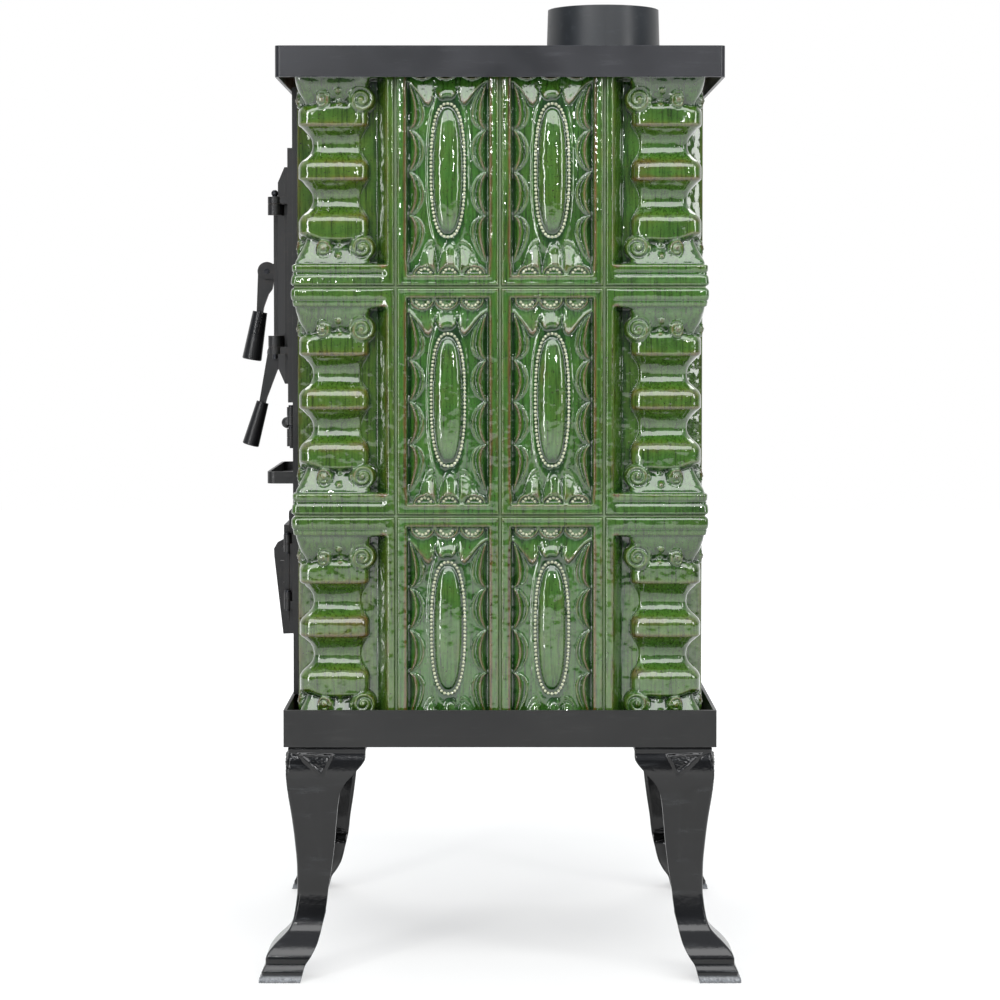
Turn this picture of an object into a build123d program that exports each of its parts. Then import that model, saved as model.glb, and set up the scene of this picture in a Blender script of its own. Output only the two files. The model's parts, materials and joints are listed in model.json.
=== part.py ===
from build123d import *
import math
import os

# Free-standing tiled stove. Millimetres, +Z up, the doors look towards -Y.
# The stove is laid out around the middle of its tiled body, with the floor at Z = 0.
# At the end every piece moves by the same amount, which puts the origin on the floor
# in the middle of the whole stove, door handles included.

# ---------------------------------------------------------------- driving dimensions

# tiled body
BODY_HALF = 203.0        # middle of the body to the face of the tile frames
TILE_HIGH = 220.0        # one row of tiles
ROWS = 3
JOINT = 2.0              # joint between two tiles
JOINT_RECESS = 4.0       # the mortar stays this far behind the tile faces
CORNER_WING = 101.0      # length of each wing of a corner tile
TILE_DEEP = 44.0         # face of a tile to the back of its rim
TILE_RIM = 8.0           # wall of the rim behind a tile

# relief of a middle tile
FRAME_BAND = 9.0         # flat band around the picture field
FIELD_DEEP = 7.0         # picture field behind the band
FIELD_THICK = 10.0       # clay behind the picture field
BOSS_WIDE = 25.0         # long oval in the middle
BOSS_LONG = 119.0
BOSS_HIGH = 5.5
BEAD_RING_WIDE = 34.5    # ring of beads around the oval, outside to outside
BEAD_RING_LONG = 129.0
BEAD = 2.2
LEAF_HIGH = 3.2          # leaves stand this far out of the field
SCALLOP_REACH = 16.0     # leaves along the two long sides
SCALLOP_TALL = 42.0
SHELL_TALL = 34.0        # three shells hang from the top, three stand at the bottom
SHELL_WIDE = 19.0
SHELL_PITCH = 25.0
STUD_R = 8.5             # half discs that the shells grow from
STUD_HIGH = 5.0

# relief of a corner tile
CORNER_FIELD_DEEP = 22.0
CORNER_CLAY = 8.0        # clay behind the field
CORNER_STRIP = 13.0      # flat strip at the end of each wing
CORNER_ROUND = 9.0
MOULDING_HIGH = 18.0     # plain moulding at the head and the foot of the tile
COLUMN_SETBACK = 7.0     # column behind the tile face
COLUMN_WIDE = 69.0
COLUMN_ROUND = 13.0
WAIST_FACE = 13.0        # the column's faces draw in between its rings
WAIST_SIDE = 9.5         # and so do its sides
RING_HIGH = 14.0
RING_PITCH = 52.5
RING_STEP = 2.5          # the shaft starts this far behind a ring
NECK_IN = 6.0            # neck behind the outermost rings
RINGS = 3
VOLUTE_BIG = 13.5
VOLUTE_SMALL = 9.5
VOLUTE_IN = 62.0         # from the corner of the column to the big scroll
VOLUTE_OUT = 24.0        # from the corner of the column to the small scroll
VOLUTE_UP = 12.0         # from the ring beside it to the middle of a scroll
VOLUTE_DEEP = 10.0

# base tray, top plate, flue collar
SHEET = 3.0
TRAY_CLEAR = 4.0         # between the tiles and the edge of the tray
TRAY_HIGH = 36.0
TOP_OVERHANG = 13.0      # the top plate reaches past the tiles
TOP_HIGH = 30.0
TOP_LAP = 20.0           # the skirt of the top plate comes down over the tiles
TOP_ROUND = 6.0
FLUE_BORE_R = 54.0
FLUE_WALL = 5.0
FLUE_DRAFT = 1.7         # the collar is this much smaller in radius at its mouth
FLUE_HIGH = 57.0         # collar above the top plate
FLUE_IN = 96.0           # middle of the flue, inwards from the tiles at the back
FLUE_CLEAR = 0.3         # collar in the hole of the top plate
FLUE_FLANGE = 13.0
FLUE_FLANGE_THICK = 5.0
COVER_FLUE = 3.0         # hole of the cover slab around the bore of the collar
COLLAR_SCREWS = 4

# legs: each is a casting with two equal sides at a right angle, hollow towards the inside. Places are measured
# from the corner of the tray, along both of its edges
LEG_HIGH = 225.0
LEG_TOP_IN = 5.5         # outer face at the tray
LEG_KNEE_IN = 1.5
LEG_KNEE_DROP = 26.0     # knee below the tray
LEG_CALF_IN = 7.0
LEG_CALF_DROP = 72.0
LEG_ANKLE_IN = 12.5
LEG_ANKLE_Z = 84.0
LEG_INSTEP_IN = 5.0
LEG_INSTEP_Z = 47.0
LEG_TOE_OUT = 24.0       # the toe reaches past the tray
LEG_TOE_CURL = 10.0      # top of the toe behind its tip
LEG_FOOT_Z = 26.0        # height of the toe
LEG_TOP_WIDE = 74.0      # width of each side at the tray
LEG_BRACKET = 12.0       # upright end of each side at the tray
LEG_THIGH_IN = 58.5      # inner edge at the thigh
LEG_THIGH_DROP = 37.5
LEG_CALF_WIDE = 43.5
LEG_ANKLE_WIDE = 29.0
LEG_HEEL_IN = 28.0
LEG_SOLE = 41.0
LEG_WALL = 9.0
LEG_FLANGE = 6.0         # flange under the tray
LEG_HOLLOW_Z = 60.0      # the leg is hollow from here up
LEG_BOSS_IN = 44.0       # bolt boss
LEG_BOSS_R = 13.0
LEG_BOSS_HIGH = 32.0
LEG_BOSS_SEAT = 19.0     # head of the bolt below the tray, sunk in the boss
LEG_RIB = 8.0
LEG_RIB_SHORT = 6.0      # the rib starts this far above the bottom of the boss
BOLT_R = 5.0
BOLT_HEAD_R = 9.0
BOLT_HEAD_HIGH = 6.4
BOLT_HEAD_ROOM = 1.0
DIAGONAL = 45.0          # degrees from a wall to the corner
END_GAP = 0.5            # ends of bolts, screws and tails stop short by this much

# fire clay inside
CLAY_WALL = 12.0         # clay wall behind the tiles
BRICK = 30.0             # lining bricks
LEDGE = 10.0             # the side bricks step back by this much to carry a plate
HEARTH_OVER = 3.0        # hearth slab above the hole of the hatch
HEARTH_THICK = 24.0
GRATE_MARGIN = 42.0      # hearth slab left between the grate and the lining
GRATE_THICK = 12.0
GRATE_LAP = 8.0
GRATE_BAR = 9.0
GRATE_SLOT = 8.0
BAFFLE_OVER = 34.0       # baffle above the throat of the fire door
BAFFLE_THICK = 12.0
BAFFLE_FRONT_GAP = 47.0  # smoke passes in front of the baffle
COVER_THICK = 32.0       # cover slab below the top of the tiles
BRICK_CLEAR = 0.5
COVER_CLEAR = 5.0        # cover slab inside the skirt of the top plate
CLAY_BACK = 5.0          # clay wall stays this far back from the mouth of the hatch

# front
FRONT_PLATE = 5.0
FRONT_LAP = 4.0          # the front plate laps over the corner tiles
PLATE_CLEAR = 1.0        # front plate to the tray and to the skirt of the top plate
FRAME_IN = 3.0           # frame of the fire door, inwards from the edge of the front plate
FRAME_PLATE = 5.0
THROAT_WALL = 5.0
SEAT_CLEAR = 0.5         # frames in their holes
FACE_CLEAR = 0.3         # closed door to its frame
SCREW_R = 2.5
SCREW_CLEAR = 0.1        # screws and bolts in their holes
SCREW_HEAD_R = 4.5
SCREW_HEAD_HIGH = 2.6
SCREW_SPREAD = 60.0

# fire door
FIRE_GAP = 4.0           # frame of the fire door above the hatch
FIRE_FRAME_HIGH = 255.0
FIRE_DOOR_HIGH = 218.0
FIRE_THROAT_HIGH = 165.0
FIRE_THROAT_EDGE = 15.0  # the door laps over the throat
FIRE_DOOR_THICK = 11.0
FIRE_DOOR_RIM = 3.7      # square edge of the door, before its bevel
FIRE_BEVEL_SIDE = 9.0
FIRE_BEVEL_TOP = 15.0
WINDOW_SIDE = 42.0       # door left beside the window
WINDOW_END = 51.0        # door left above and below it
GLASS_THICK = 4.0
GLASS_LAP = 8.0
GLASS_CLEAR = 0.2        # in front of and behind the glass
GLASS_ROOM = 0.5         # around its edge
RETAINER_THICK = 5.7
RETAINER_SIDE = 18.0     # the glass frame beside the window
RETAINER_END = 23.5
GLASS_SCREW_IN = 5.0
GLASS_SCREW_R = 1.5
GLASS_SCREW_DEEP = 4.5
GLASS_HEAD_R = 3.0
GLASS_HEAD_HIGH = 1.8
SEAL_IN = 4.0            # seal, inwards from the edge of the door
SEAL_WIDE = 6.0
SEAL_DEEP = 4.0

# fire door hinge
HINGE_IN = 5.0           # axis inside the edge of the frame
HINGE_OUT = 13.0         # axis in front of the frame
HINGE_EYE_R = 7.0
HINGE_PIN_R = 2.5
HINGE_RUN = 0.08         # running clearance of a pin
HINGE_SPREAD = 132.0     # between the two door lugs
HINGE_LUG = 11.0
HINGE_EAR = 7.0
HINGE_GAP = 0.3
HINGE_EDGE = 1.0         # door edge clear of the eyes
HINGE_WEB = 9.0
HINGE_ROOT = 4.0         # lugs and cheeks reach this far into the door
PIN_TAIL = 5.0           # lower pin below its ear
PIN_SHORT = 1.0          # pins end this far inside the far lug
PIN_HEAD_R = 3.5

# latch levers of the fire door
LATCH_IN = 14.0          # from the edge of the door, on the side away from the hinge
LATCH_THICK = 6.0
LATCH_EYE_R = 10.0
LATCH_PIN_R = 3.0
LATCH_OUT = 19.0         # pivot in front of the door
LATCH_UP = 7.0           # upper pivot above the middle of the door
LATCH_NECK = 44.0        # pivot to the top of the grip
LATCH_LEAN = 10.0        # degrees from hanging straight down
GRIP_LONG = 52.0
GRIP_TOP_R = 7.8
GRIP_END_R = 10.5
GRIP_ROUND = 1.5
GRIP_SOCKET = 30.0
GRIP_CLEAR = 0.2         # sleeve around the tail of its lever
TAIL_WIDE = 7.0
LATCH_NOSE = 18.0        # nose of the lever below its pivot
CHEEK = 4.0
CHEEK_CLEAR = 0.3
CHEEK_R = 8.0
LOW_CHEEK_R = 7.0        # cheeks of the two smaller latches
PIN_PROUD = 1.0          # pivot pins stand out of the cheeks
LOW_LATCH_OUT = 9.0
LOW_LATCH_DOWN = 80.0    # lower pivot below the middle of the door
LOW_LATCH_NECK = 55.0
LOW_LATCH_LEAN = 16.0
LOW_LATCH_NOSE = 12.0
LOW_GRIP_LONG = 48.0
LOW_GRIP_TOP_R = 6.6
LOW_GRIP_END_R = 9.0

# cleaning hatch between the doors
HATCH_OVER = 22.0        # hatch above the ember tray
HATCH_HIGH = 44.0
HATCH_IN = 51.0          # from the edge of the front plate
HATCH_THICK = 4.0
HATCH_LAP = 7.0
HATCH_EYE_R = 4.6
HATCH_PIN_R = 1.8
HATCH_KNUCKLE = 9.0
HATCH_KNOB_R = 6.0
HATCH_KNOB_OUT = 13.0
HATCH_KNOB_NECK = 3.0
HATCH_EDGE = 1.0         # edge of the hatch clear of its knuckles
KNUCKLE_NECK = 1.0       # foot of a knuckle, narrower than its eye on each side
KNUCKLE_ROOT = 2.0       # knuckles reach this far into the door
SMALL_HEAD_WIDER = 1.2   # head of a small pin around the pin
SMALL_PIN_OUT = 2.0      # small pins stand out of their knuckles

# ember tray
EMBER_OVER = 28.0        # ember tray above the frame of the ash door
EMBER_HIGH = 12.0
EMBER_OUT = 27.0
EMBER_IN = 10.0          # from the edge of the front plate
EMBER_SHEET = 2.5
EMBER_ROUND = 8.0

# ash door
ASH_UP = 157.0
ASH_FRAME_HIGH = 122.0
ASH_DOOR_HIGH = 94.0
ASH_THROAT_HIGH = 80.0
ASH_DOOR_THICK = 5.0
ASH_EYE_R = 4.0
ASH_PIN_R = 2.0
ASH_KNUCKLE = 8.5
ASH_HINGE_SPREAD = 58.0
ASH_AXIS_OUT = 6.0       # axis in front of the front plate
ASH_EDGE = 5.0           # hinge axis outside the edge of the door
ASH_LEAF = 2.0           # leaf behind the fixed knuckles
ASH_THROAT_EDGE = 13.0
ASH_LATCH_OUT = 11.0
ASH_LATCH_EYE_R = 9.0
ASH_LATCH_UP = 6.0
ASH_LATCH_R = 13.0
ASH_LATCH_LONG = 89.0
ASH_LATCH_END = 10.0
ASH_LATCH_LEAN = -2.0

# air slide on the ash door
SLIDE_IN = 47.0          # from the edge of the ash door
SLIDE_HIGH = 34.0
SLIDE_THICK = 2.0
SLIDE_TRAVEL = 9.0
AIR_SLOTS = 4
AIR_SLOT_WIDE = 8.0
AIR_SLOT_HIGH = 22.0
SLIDE_RAIL = 4.0
SLIDE_LIP = 1.5          # lip of the rail over the slide
SLIDE_LIP_OVER = 0.8
SLIDE_CLEAR = 0.2
SLIDE_RAIL_END = 3.0
SLIDE_TAB = 6.0
SLIDE_TAB_IN = 8.0
SLIDE_TAB_TALL = 12.0

# ash pan
PAN_HIGH = 60.0
PAN_SHEET = 2.0
PAN_SIDE_CLEAR = 2.0
PAN_FLOOR_CLEAR = 0.3
PAN_RECESS = 55.0        # front of the pan behind the closed door
PAN_BACK_GAP = 12.0
PAN_LIP_OUT = 12.0       # lip that the pan is drawn out by
PAN_LIP_HALF = 30.0
PAN_LIP_THICK = 3.0

# ---------------------------------------------------------------- places worked out

tray_floor = LEG_HIGH + SHEET
row_pitch = TILE_HIGH + JOINT
tile_top = tray_floor + ROWS * TILE_HIGH + (ROWS - 1) * JOINT
middle_wide = BODY_HALF - CORNER_WING - 1.5 * JOINT
tray_half = BODY_HALF + TRAY_CLEAR + SHEET
top_half = BODY_HALF + TOP_OVERHANG
flue_y = BODY_HALF - FLUE_IN
clay_half = BODY_HALF - TILE_DEEP
brick_half = clay_half - CLAY_WALL
fire_half = brick_half - BRICK
plate_low = tile_top - TOP_LAP + TOP_HIGH - SHEET
plate_top = plate_low + SHEET

front_gap_half = BODY_HALF - CORNER_WING
front_y = -BODY_HALF - FRONT_PLATE
frame_y = front_y - FRAME_PLATE
front_plate_half = front_gap_half + FRONT_LAP
fire_frame_half = front_plate_half - FRAME_IN

ash_z = tray_floor + ASH_UP
ember_low = ash_z + ASH_FRAME_HIGH / 2 + EMBER_OVER
hatch_low = ember_low + EMBER_HIGH + HATCH_OVER
hatch_z = hatch_low + HATCH_HIGH / 2
fire_z = hatch_low + HATCH_HIGH + FIRE_GAP + FIRE_FRAME_HIGH / 2
hearth_z = hatch_low + HATCH_HIGH - HATCH_LAP + HEARTH_OVER
baffle_z = fire_z + FIRE_THROAT_HIGH / 2 + BAFFLE_OVER
ash_floor = ash_z - ASH_THROAT_HIGH / 2

hinge_x = fire_frame_half - HINGE_IN
hinge_y = frame_y - HINGE_OUT
fire_door_half = hinge_x - HINGE_EYE_R - HINGE_EDGE
fire_throat_half = fire_door_half - FIRE_THROAT_EDGE
window_half = fire_door_half - WINDOW_SIDE
window_high = FIRE_DOOR_HIGH - 2 * WINDOW_END
retainer_half = window_half + RETAINER_SIDE
latch_x = LATCH_IN - fire_door_half
hatch_half = front_plate_half - HATCH_IN
ember_half = front_plate_half - EMBER_IN
fire_back_y = frame_y - FACE_CLEAR
fire_front_y = fire_back_y - FIRE_DOOR_THICK
retainer_y = fire_front_y - RETAINER_THICK

ash_hinge_x = hinge_x
ash_hinge_y = front_y - ASH_AXIS_OUT
ash_door_half = ash_hinge_x - ASH_EDGE
ash_frame_half = ash_door_half - 1.0
ash_throat_half = ash_door_half - ASH_THROAT_EDGE
slide_half = ash_door_half - SLIDE_IN
ash_back_y = frame_y - FACE_CLEAR
ash_front_y = ash_back_y - ASH_DOOR_THICK

nodes = {}


def keep(name, *pieces):
    """Store the solids of one sub-part under its name."""
    solids = []
    for piece in pieces:
        solids.extend(piece.solids())
    nodes[name] = solids


def both(half):
    return (-half, half)


def around(middle, length):
    return (middle - length / 2, middle + length / 2)


def block(x, y, z):
    """Box between a low and a high limit along each axis."""
    middle = [(limit[0] + limit[1]) / 2 for limit in (x, y, z)]
    size = [limit[1] - limit[0] for limit in (x, y, z)]
    return Pos(*middle) * Box(*size)


def upright(x, y, radius, low, high):
    """Cylinder that stands on Z = low."""
    return Pos(x, y, (low + high) / 2) * Cylinder(radius, high - low)


def across(x_low, x_high, y, z, radius):
    """Cylinder that lies along X."""
    return Pos((x_low + x_high) / 2, y, z) * Rot(0, 90, 0) * Cylinder(radius, x_high - x_low)


def inwards(x, z, radius, y_front, y_back):
    """Cylinder that lies along Y."""
    return Pos(x, (y_front + y_back) / 2, z) * Rot(90, 0, 0) * Cylinder(radius, y_back - y_front)


# ---------------------------------------------------------------- tiles

def rim_behind(wide, low_w):
    """Rim on the back of a flat tile: a rectangular wall, open to the inside."""
    outside = block(both(wide / 2), (0, TILE_HIGH), (-TILE_DEEP, low_w))
    hollow = block(both(wide / 2 - TILE_RIM), (TILE_RIM, TILE_HIGH - TILE_RIM), (-TILE_DEEP, low_w))
    return outside - hollow


def leaf_outline(field_half, field_high):
    """Leaves around the field: scallops along the sides, shells above and below."""
    leaves = []
    middle = TILE_HIGH / 2
    for side in (-1, 1):
        for step in (-1.5, -0.5, 0.5, 1.5):
            up = middle + step * SCALLOP_TALL
            leaves.append(Pos(side * field_half, up) * Ellipse(SCALLOP_REACH, SCALLOP_TALL / 2))
    for end in (-1, 1):
        for step in (-1, 0, 1):
            up = middle + end * (field_high / 2 - SHELL_TALL / 2 + 2)
            leaves.append(Pos(step * SHELL_PITCH, up) * Ellipse(SHELL_WIDE / 2, SHELL_TALL / 2))
    return Sketch() + leaves


def middle_tile():
    """Tile with a beaded oval, laid flat: X across, Y up the tile, Z out of its face."""
    wide = middle_wide
    field_half = wide / 2 - FRAME_BAND
    field_high = TILE_HIGH - 2 * FRAME_BAND
    floor = -FIELD_DEEP
    middle = TILE_HIGH / 2
    field = block(both(field_half), around(middle, field_high), (floor, 0))
    tile = block(both(wide / 2), (0, TILE_HIGH), (floor - FIELD_THICK, 0)) - field
    leaves = Pos(0, 0, floor) * extrude(leaf_outline(field_half, field_high), LEAF_HIGH)
    studs = []
    for end in (-1, 1):
        for step in (-1, 0, 1):
            place = Pos(step * SHELL_PITCH, middle + end * field_high / 2, floor)
            studs.append(place * Cylinder(STUD_R, 2 * STUD_HIGH))
    relief = (leaves + studs) & field
    oval = Pos(0, middle, floor) * extrude(SlotOverall(BOSS_LONG, BOSS_WIDE, rotation=90), BOSS_HIGH)
    crown = oval.faces().sort_by(Axis.Z)[-1].edges()
    oval = fillet(crown, BOSS_HIGH * 0.6)
    ring = SlotOverall(BEAD_RING_LONG, BEAD_RING_WIDE, rotation=90)
    ring -= SlotOverall(BEAD_RING_LONG - 2 * BEAD, BEAD_RING_WIDE - 2 * BEAD, rotation=90)
    beads = Pos(0, middle, floor) * extrude(ring, LEAF_HIGH + BEAD / 2)
    return tile + relief + oval + beads + rim_behind(wide, floor - FIELD_THICK)


def corner_shape(inner, outer, low, high, wing=CORNER_WING):
    """Angle-shaped wall around the corner, between two depths behind the faces."""
    wall = block((-wing, -outer), (-wing, -outer), (low, high))
    return wall - block((-wing, -inner), (-wing, -inner), (low, high))


def column_slice(up, face_in, side_in):
    """Level cut through the column, drawn in from its faces and from its sides."""
    half = (COLUMN_WIDE - face_in - side_in) / 2
    centre = -COLUMN_SETBACK - face_in - half
    return Pos(centre, centre, up) * RectangleRounded(2 * half, 2 * half, COLUMN_ROUND)


def corner_column():
    """Turned corner column: square rings with drawn-in waists between them."""
    middle = TILE_HIGH / 2
    reach = RING_PITCH * (RINGS - 1) / 2
    column = []
    for step in range(RINGS):
        low = middle - reach + step * RING_PITCH - RING_HIGH / 2
        column.append(extrude(column_slice(low, 0, 0), RING_HIGH))
    for step in range(RINGS - 1):
        low = middle - reach + step * RING_PITCH + RING_HIGH / 2
        high = low + RING_PITCH - RING_HIGH
        waist = column_slice((low + high) / 2, WAIST_FACE, WAIST_SIDE)
        column.append(loft([column_slice(low, RING_STEP, RING_STEP), waist, column_slice(high, RING_STEP, RING_STEP)]))
    for end in (-1, 1):
        near = middle + end * (reach + RING_HIGH / 2)
        far = middle + end * (TILE_HIGH / 2 - MOULDING_HIGH)
        column.append(loft([column_slice(near, NECK_IN, RING_STEP), column_slice(far, 0, RING_STEP)], ruled=True))
    return column


def corner_volutes():
    """Scrolls on both faces of the column, under the head and above the foot."""
    middle = TILE_HIGH / 2
    reach = RING_PITCH * (RINGS - 1) / 2 + RING_HIGH / 2 + VOLUTE_UP
    front = -COLUMN_SETBACK + 3
    scrolls = []
    for end in (-1, 1):
        for inset, radius in ((VOLUTE_IN, VOLUTE_BIG), (VOLUTE_OUT, VOLUTE_SMALL)):
            away = -COLUMN_SETBACK - inset
            up = middle + end * reach
            deep = front - VOLUTE_DEEP / 2
            scrolls.append(Pos(deep, away, up) * Rot(0, 90, 0) * Cylinder(radius, VOLUTE_DEEP))
            scrolls.append(Pos(away, deep, up) * Rot(90, 0, 0) * Cylinder(radius, VOLUTE_DEEP))
    return scrolls


def corner_tile():
    """Corner tile with its corner at the origin and its wings along -X and -Y."""
    back = CORNER_FIELD_DEEP + CORNER_CLAY
    tile = corner_shape(back, CORNER_FIELD_DEEP, 0, TILE_HIGH)
    for low in (0, TILE_HIGH - MOULDING_HIGH):
        moulding = corner_shape(back, 0, low, low + MOULDING_HIGH)
        edge = moulding.edges().filter_by(Axis.Z).sort_by(Axis.X)[-1]
        tile += fillet(edge, CORNER_ROUND)
    strip_end = -CORNER_WING + CORNER_STRIP
    tile += block((-CORNER_WING, strip_end), (-back, 0), (0, TILE_HIGH))
    tile += block((-back, 0), (-CORNER_WING, strip_end), (0, TILE_HIGH))
    tile += corner_column()
    tile += corner_volutes()
    hollow = (-CORNER_WING, -back)
    tile -= block(hollow, hollow, (0, TILE_HIGH))
    for low in (0, TILE_HIGH - TILE_RIM):
        tile += corner_shape(TILE_DEEP, back, low, low + TILE_RIM)
    rim_end = -CORNER_WING + TILE_RIM
    tile += block((-CORNER_WING, rim_end), (-TILE_DEEP, -back), (0, TILE_HIGH))
    tile += block((-TILE_DEEP, -back), (-CORNER_WING, rim_end), (0, TILE_HIGH))
    return tile


row_names = ["low", "middle", "top"]
corners = {"back_right": 0, "back_left": 90, "front_left": 180, "front_right": 270}
walls = {
    "right_side": (0, ("front", "rear")),
    "back": (90, ("right", "left")),
    "left_side": (180, ("rear", "front")),
}
one_corner = Pos(BODY_HALF, BODY_HALF, 0) * corner_tile()
one_middle = middle_tile()
pair_offset = (middle_wide + JOINT) / 2

rows_up = [Pos(0, 0, tray_floor + row * row_pitch) for row in range(ROWS)]
for row, up in enumerate(rows_up):
    row_name = row_names[row] if row < len(row_names) else "row_" + str(row + 1)
    for corner, turn in corners.items():
        keep("corner_tile_" + corner + "_" + row_name, up * Rot(0, 0, turn) * one_corner)
for wall, (turn, columns) in walls.items():
    for side, column in zip((-1, 1), columns):
        face = Plane((BODY_HALF, side * pair_offset, 0), x_dir=(0, 1, 0), z_dir=(1, 0, 0))
        tiles = [up * Rot(0, 0, turn) * face.location * one_middle for up in rows_up]
        keep("tiles_" + wall + "_" + column, *tiles)


def joint_mortar():
    """Mortar between the tiles: level frames and upright strips, open at the doors."""
    out = BODY_HALF - JOINT_RECESS
    door_gap = block(both(front_gap_half), (-BODY_HALF, 0), (0, tile_top))
    mortar = []
    for row in range(1, ROWS):
        high = tray_floor + row * row_pitch
        frame = block(both(out), both(out), (high - JOINT, high))
        frame -= block(both(clay_half), both(clay_half), (high - JOINT, high))
        mortar.append(frame - door_gap)
    joints = [-front_gap_half + JOINT / 2, 0, front_gap_half - JOINT / 2]
    for turn, _ in walls.values():
        for place in joints:
            strip = block((clay_half, out), around(place, JOINT), (tray_floor, tile_top))
            mortar.append(Rot(0, 0, turn) * strip)
    return Part() + mortar


keep("joint_mortar", joint_mortar())

# ---------------------------------------------------------------- legs


def leg_side():
    """One side of a leg, seen square on: X outwards from the edge of the tray, Y up."""
    calf_z = LEG_HIGH - LEG_CALF_DROP
    end_in = LEG_TOP_IN + LEG_TOP_WIDE
    front = Spline(
        (-LEG_TOP_IN, LEG_HIGH),
        (-LEG_KNEE_IN, LEG_HIGH - LEG_KNEE_DROP),
        (-LEG_CALF_IN, calf_z),
        (-LEG_ANKLE_IN, LEG_ANKLE_Z),
        (-LEG_INSTEP_IN, LEG_INSTEP_Z),
        (LEG_TOE_OUT - LEG_TOE_CURL, LEG_FOOT_Z),
        (LEG_TOE_OUT, 0),
    )
    sole = Line(front @ 1, (LEG_TOE_OUT - LEG_SOLE, 0))
    back = Spline(
        sole @ 1,
        (-LEG_HEEL_IN, LEG_FOOT_Z),
        (-LEG_ANKLE_IN - LEG_ANKLE_WIDE, LEG_ANKLE_Z),
        (-LEG_CALF_IN - LEG_CALF_WIDE, calf_z),
        (-LEG_THIGH_IN, LEG_HIGH - LEG_THIGH_DROP),
        (-end_in, LEG_HIGH - LEG_BRACKET),
    )
    end = Line(back @ 1, (-end_in, LEG_HIGH))
    top = Line(end @ 1, front @ 0)
    return make_face(front + sole + back + end + top)


def leg():
    """Cast cabriole leg, with X and Y outwards from the corner of the tray."""
    side = extrude(Plane.XZ * leg_side(), tray_half, both=True)
    front = extrude(Plane.YZ * leg_side(), tray_half, both=True)
    block_leg = side & front
    hollow = block((-tray_half, 0), (-tray_half, 0), (LEG_HOLLOW_Z, LEG_HIGH - LEG_FLANGE))
    shell = block_leg - (Pos(-LEG_WALL, -LEG_WALL, 0) * block_leg & hollow)
    boss_low = LEG_HIGH - LEG_BOSS_HIGH
    seat = LEG_HIGH - LEG_BOSS_SEAT
    shell += upright(-LEG_BOSS_IN, -LEG_BOSS_IN, LEG_BOSS_R, boss_low, LEG_HIGH)
    rib_long = (LEG_BOSS_IN - LEG_TOP_IN - LEG_WALL / 2) * math.sqrt(2)
    rib = block((0, rib_long), both(LEG_RIB / 2), (boss_low + LEG_RIB_SHORT, LEG_HIGH))
    shell += Pos(-LEG_BOSS_IN, -LEG_BOSS_IN, 0) * Rot(0, 0, DIAGONAL) * rib
    shell -= upright(-LEG_BOSS_IN, -LEG_BOSS_IN, BOLT_R + SCREW_CLEAR, seat, LEG_HIGH)
    return shell - upright(-LEG_BOSS_IN, -LEG_BOSS_IN, BOLT_HEAD_R + BOLT_HEAD_ROOM, boss_low, seat)


one_leg = Pos(tray_half, tray_half, 0) * leg()
bolt_reach = tray_half - LEG_BOSS_IN
head_low = LEG_HIGH - LEG_BOSS_SEAT - BOLT_HEAD_HIGH
one_bolt = upright(bolt_reach, bolt_reach, BOLT_R, head_low, tray_floor - END_GAP)
one_bolt += Pos(bolt_reach, bolt_reach, head_low) * extrude(RegularPolygon(BOLT_HEAD_R, 6), BOLT_HEAD_HIGH)
bolts = []
for corner, turn in corners.items():
    keep("leg_" + corner, Rot(0, 0, turn) * one_leg)
    bolts.append(Rot(0, 0, turn) * one_bolt)
keep("leg_bolts", *bolts)

# ---------------------------------------------------------------- tray, top, flue

tray = block(both(tray_half), both(tray_half), (LEG_HIGH, LEG_HIGH + TRAY_HIGH))
tray -= block(both(tray_half - SHEET), both(tray_half - SHEET), (tray_floor, LEG_HIGH + TRAY_HIGH))
for turn in corners.values():
    tray -= Rot(0, 0, turn) * upright(bolt_reach, bolt_reach, BOLT_R + SCREW_CLEAR, LEG_HIGH, tray_floor)
keep("base_tray", tray)

skirt_low = tile_top - TOP_LAP
top_outline = RectangleRounded(2 * top_half, 2 * top_half, TOP_ROUND)
top_inside = RectangleRounded(2 * (top_half - SHEET), 2 * (top_half - SHEET), TOP_ROUND - SHEET)
top = Pos(0, 0, skirt_low) * extrude(top_outline, TOP_HIGH)
top -= Pos(0, 0, skirt_low) * extrude(top_inside, TOP_HIGH - SHEET)
flue_out_r = FLUE_BORE_R + FLUE_WALL
top -= upright(0, flue_y, flue_out_r + FLUE_CLEAR, plate_low, plate_top)
flange_low = plate_low - FLUE_FLANGE_THICK
flange_r = flue_out_r + FLUE_FLANGE
collar_high = plate_top + FLUE_HIGH
collar = upright(0, flue_y, flange_r, flange_low, plate_low)
collar += upright(0, flue_y, flue_out_r, plate_low, plate_top)
collar_middle = Pos(0, flue_y, plate_top + FLUE_HIGH / 2)
collar += collar_middle * Cone(flue_out_r, flue_out_r - FLUE_DRAFT, FLUE_HIGH)
collar -= upright(0, flue_y, FLUE_BORE_R, flange_low, collar_high)
screws = []
screw_reach = flue_out_r + FLUE_FLANGE / 2 + 1
for step in range(COLLAR_SCREWS):
    turn = math.radians(DIAGONAL + 360 * step / COLLAR_SCREWS)
    x = screw_reach * math.cos(turn)
    y = flue_y + screw_reach * math.sin(turn)
    screw = upright(x, y, SCREW_R, flange_low + END_GAP, plate_top)
    screws.append(screw + upright(x, y, SCREW_HEAD_R, plate_top, plate_top + SCREW_HEAD_HIGH))
    top -= upright(x, y, SCREW_R + SCREW_CLEAR, plate_low, plate_top)
    collar -= upright(x, y, SCREW_R + SCREW_CLEAR, flange_low, plate_low)
keep("top_plate", top)
keep("flue_collar", collar)

# ---------------------------------------------------------------- fire clay

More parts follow.
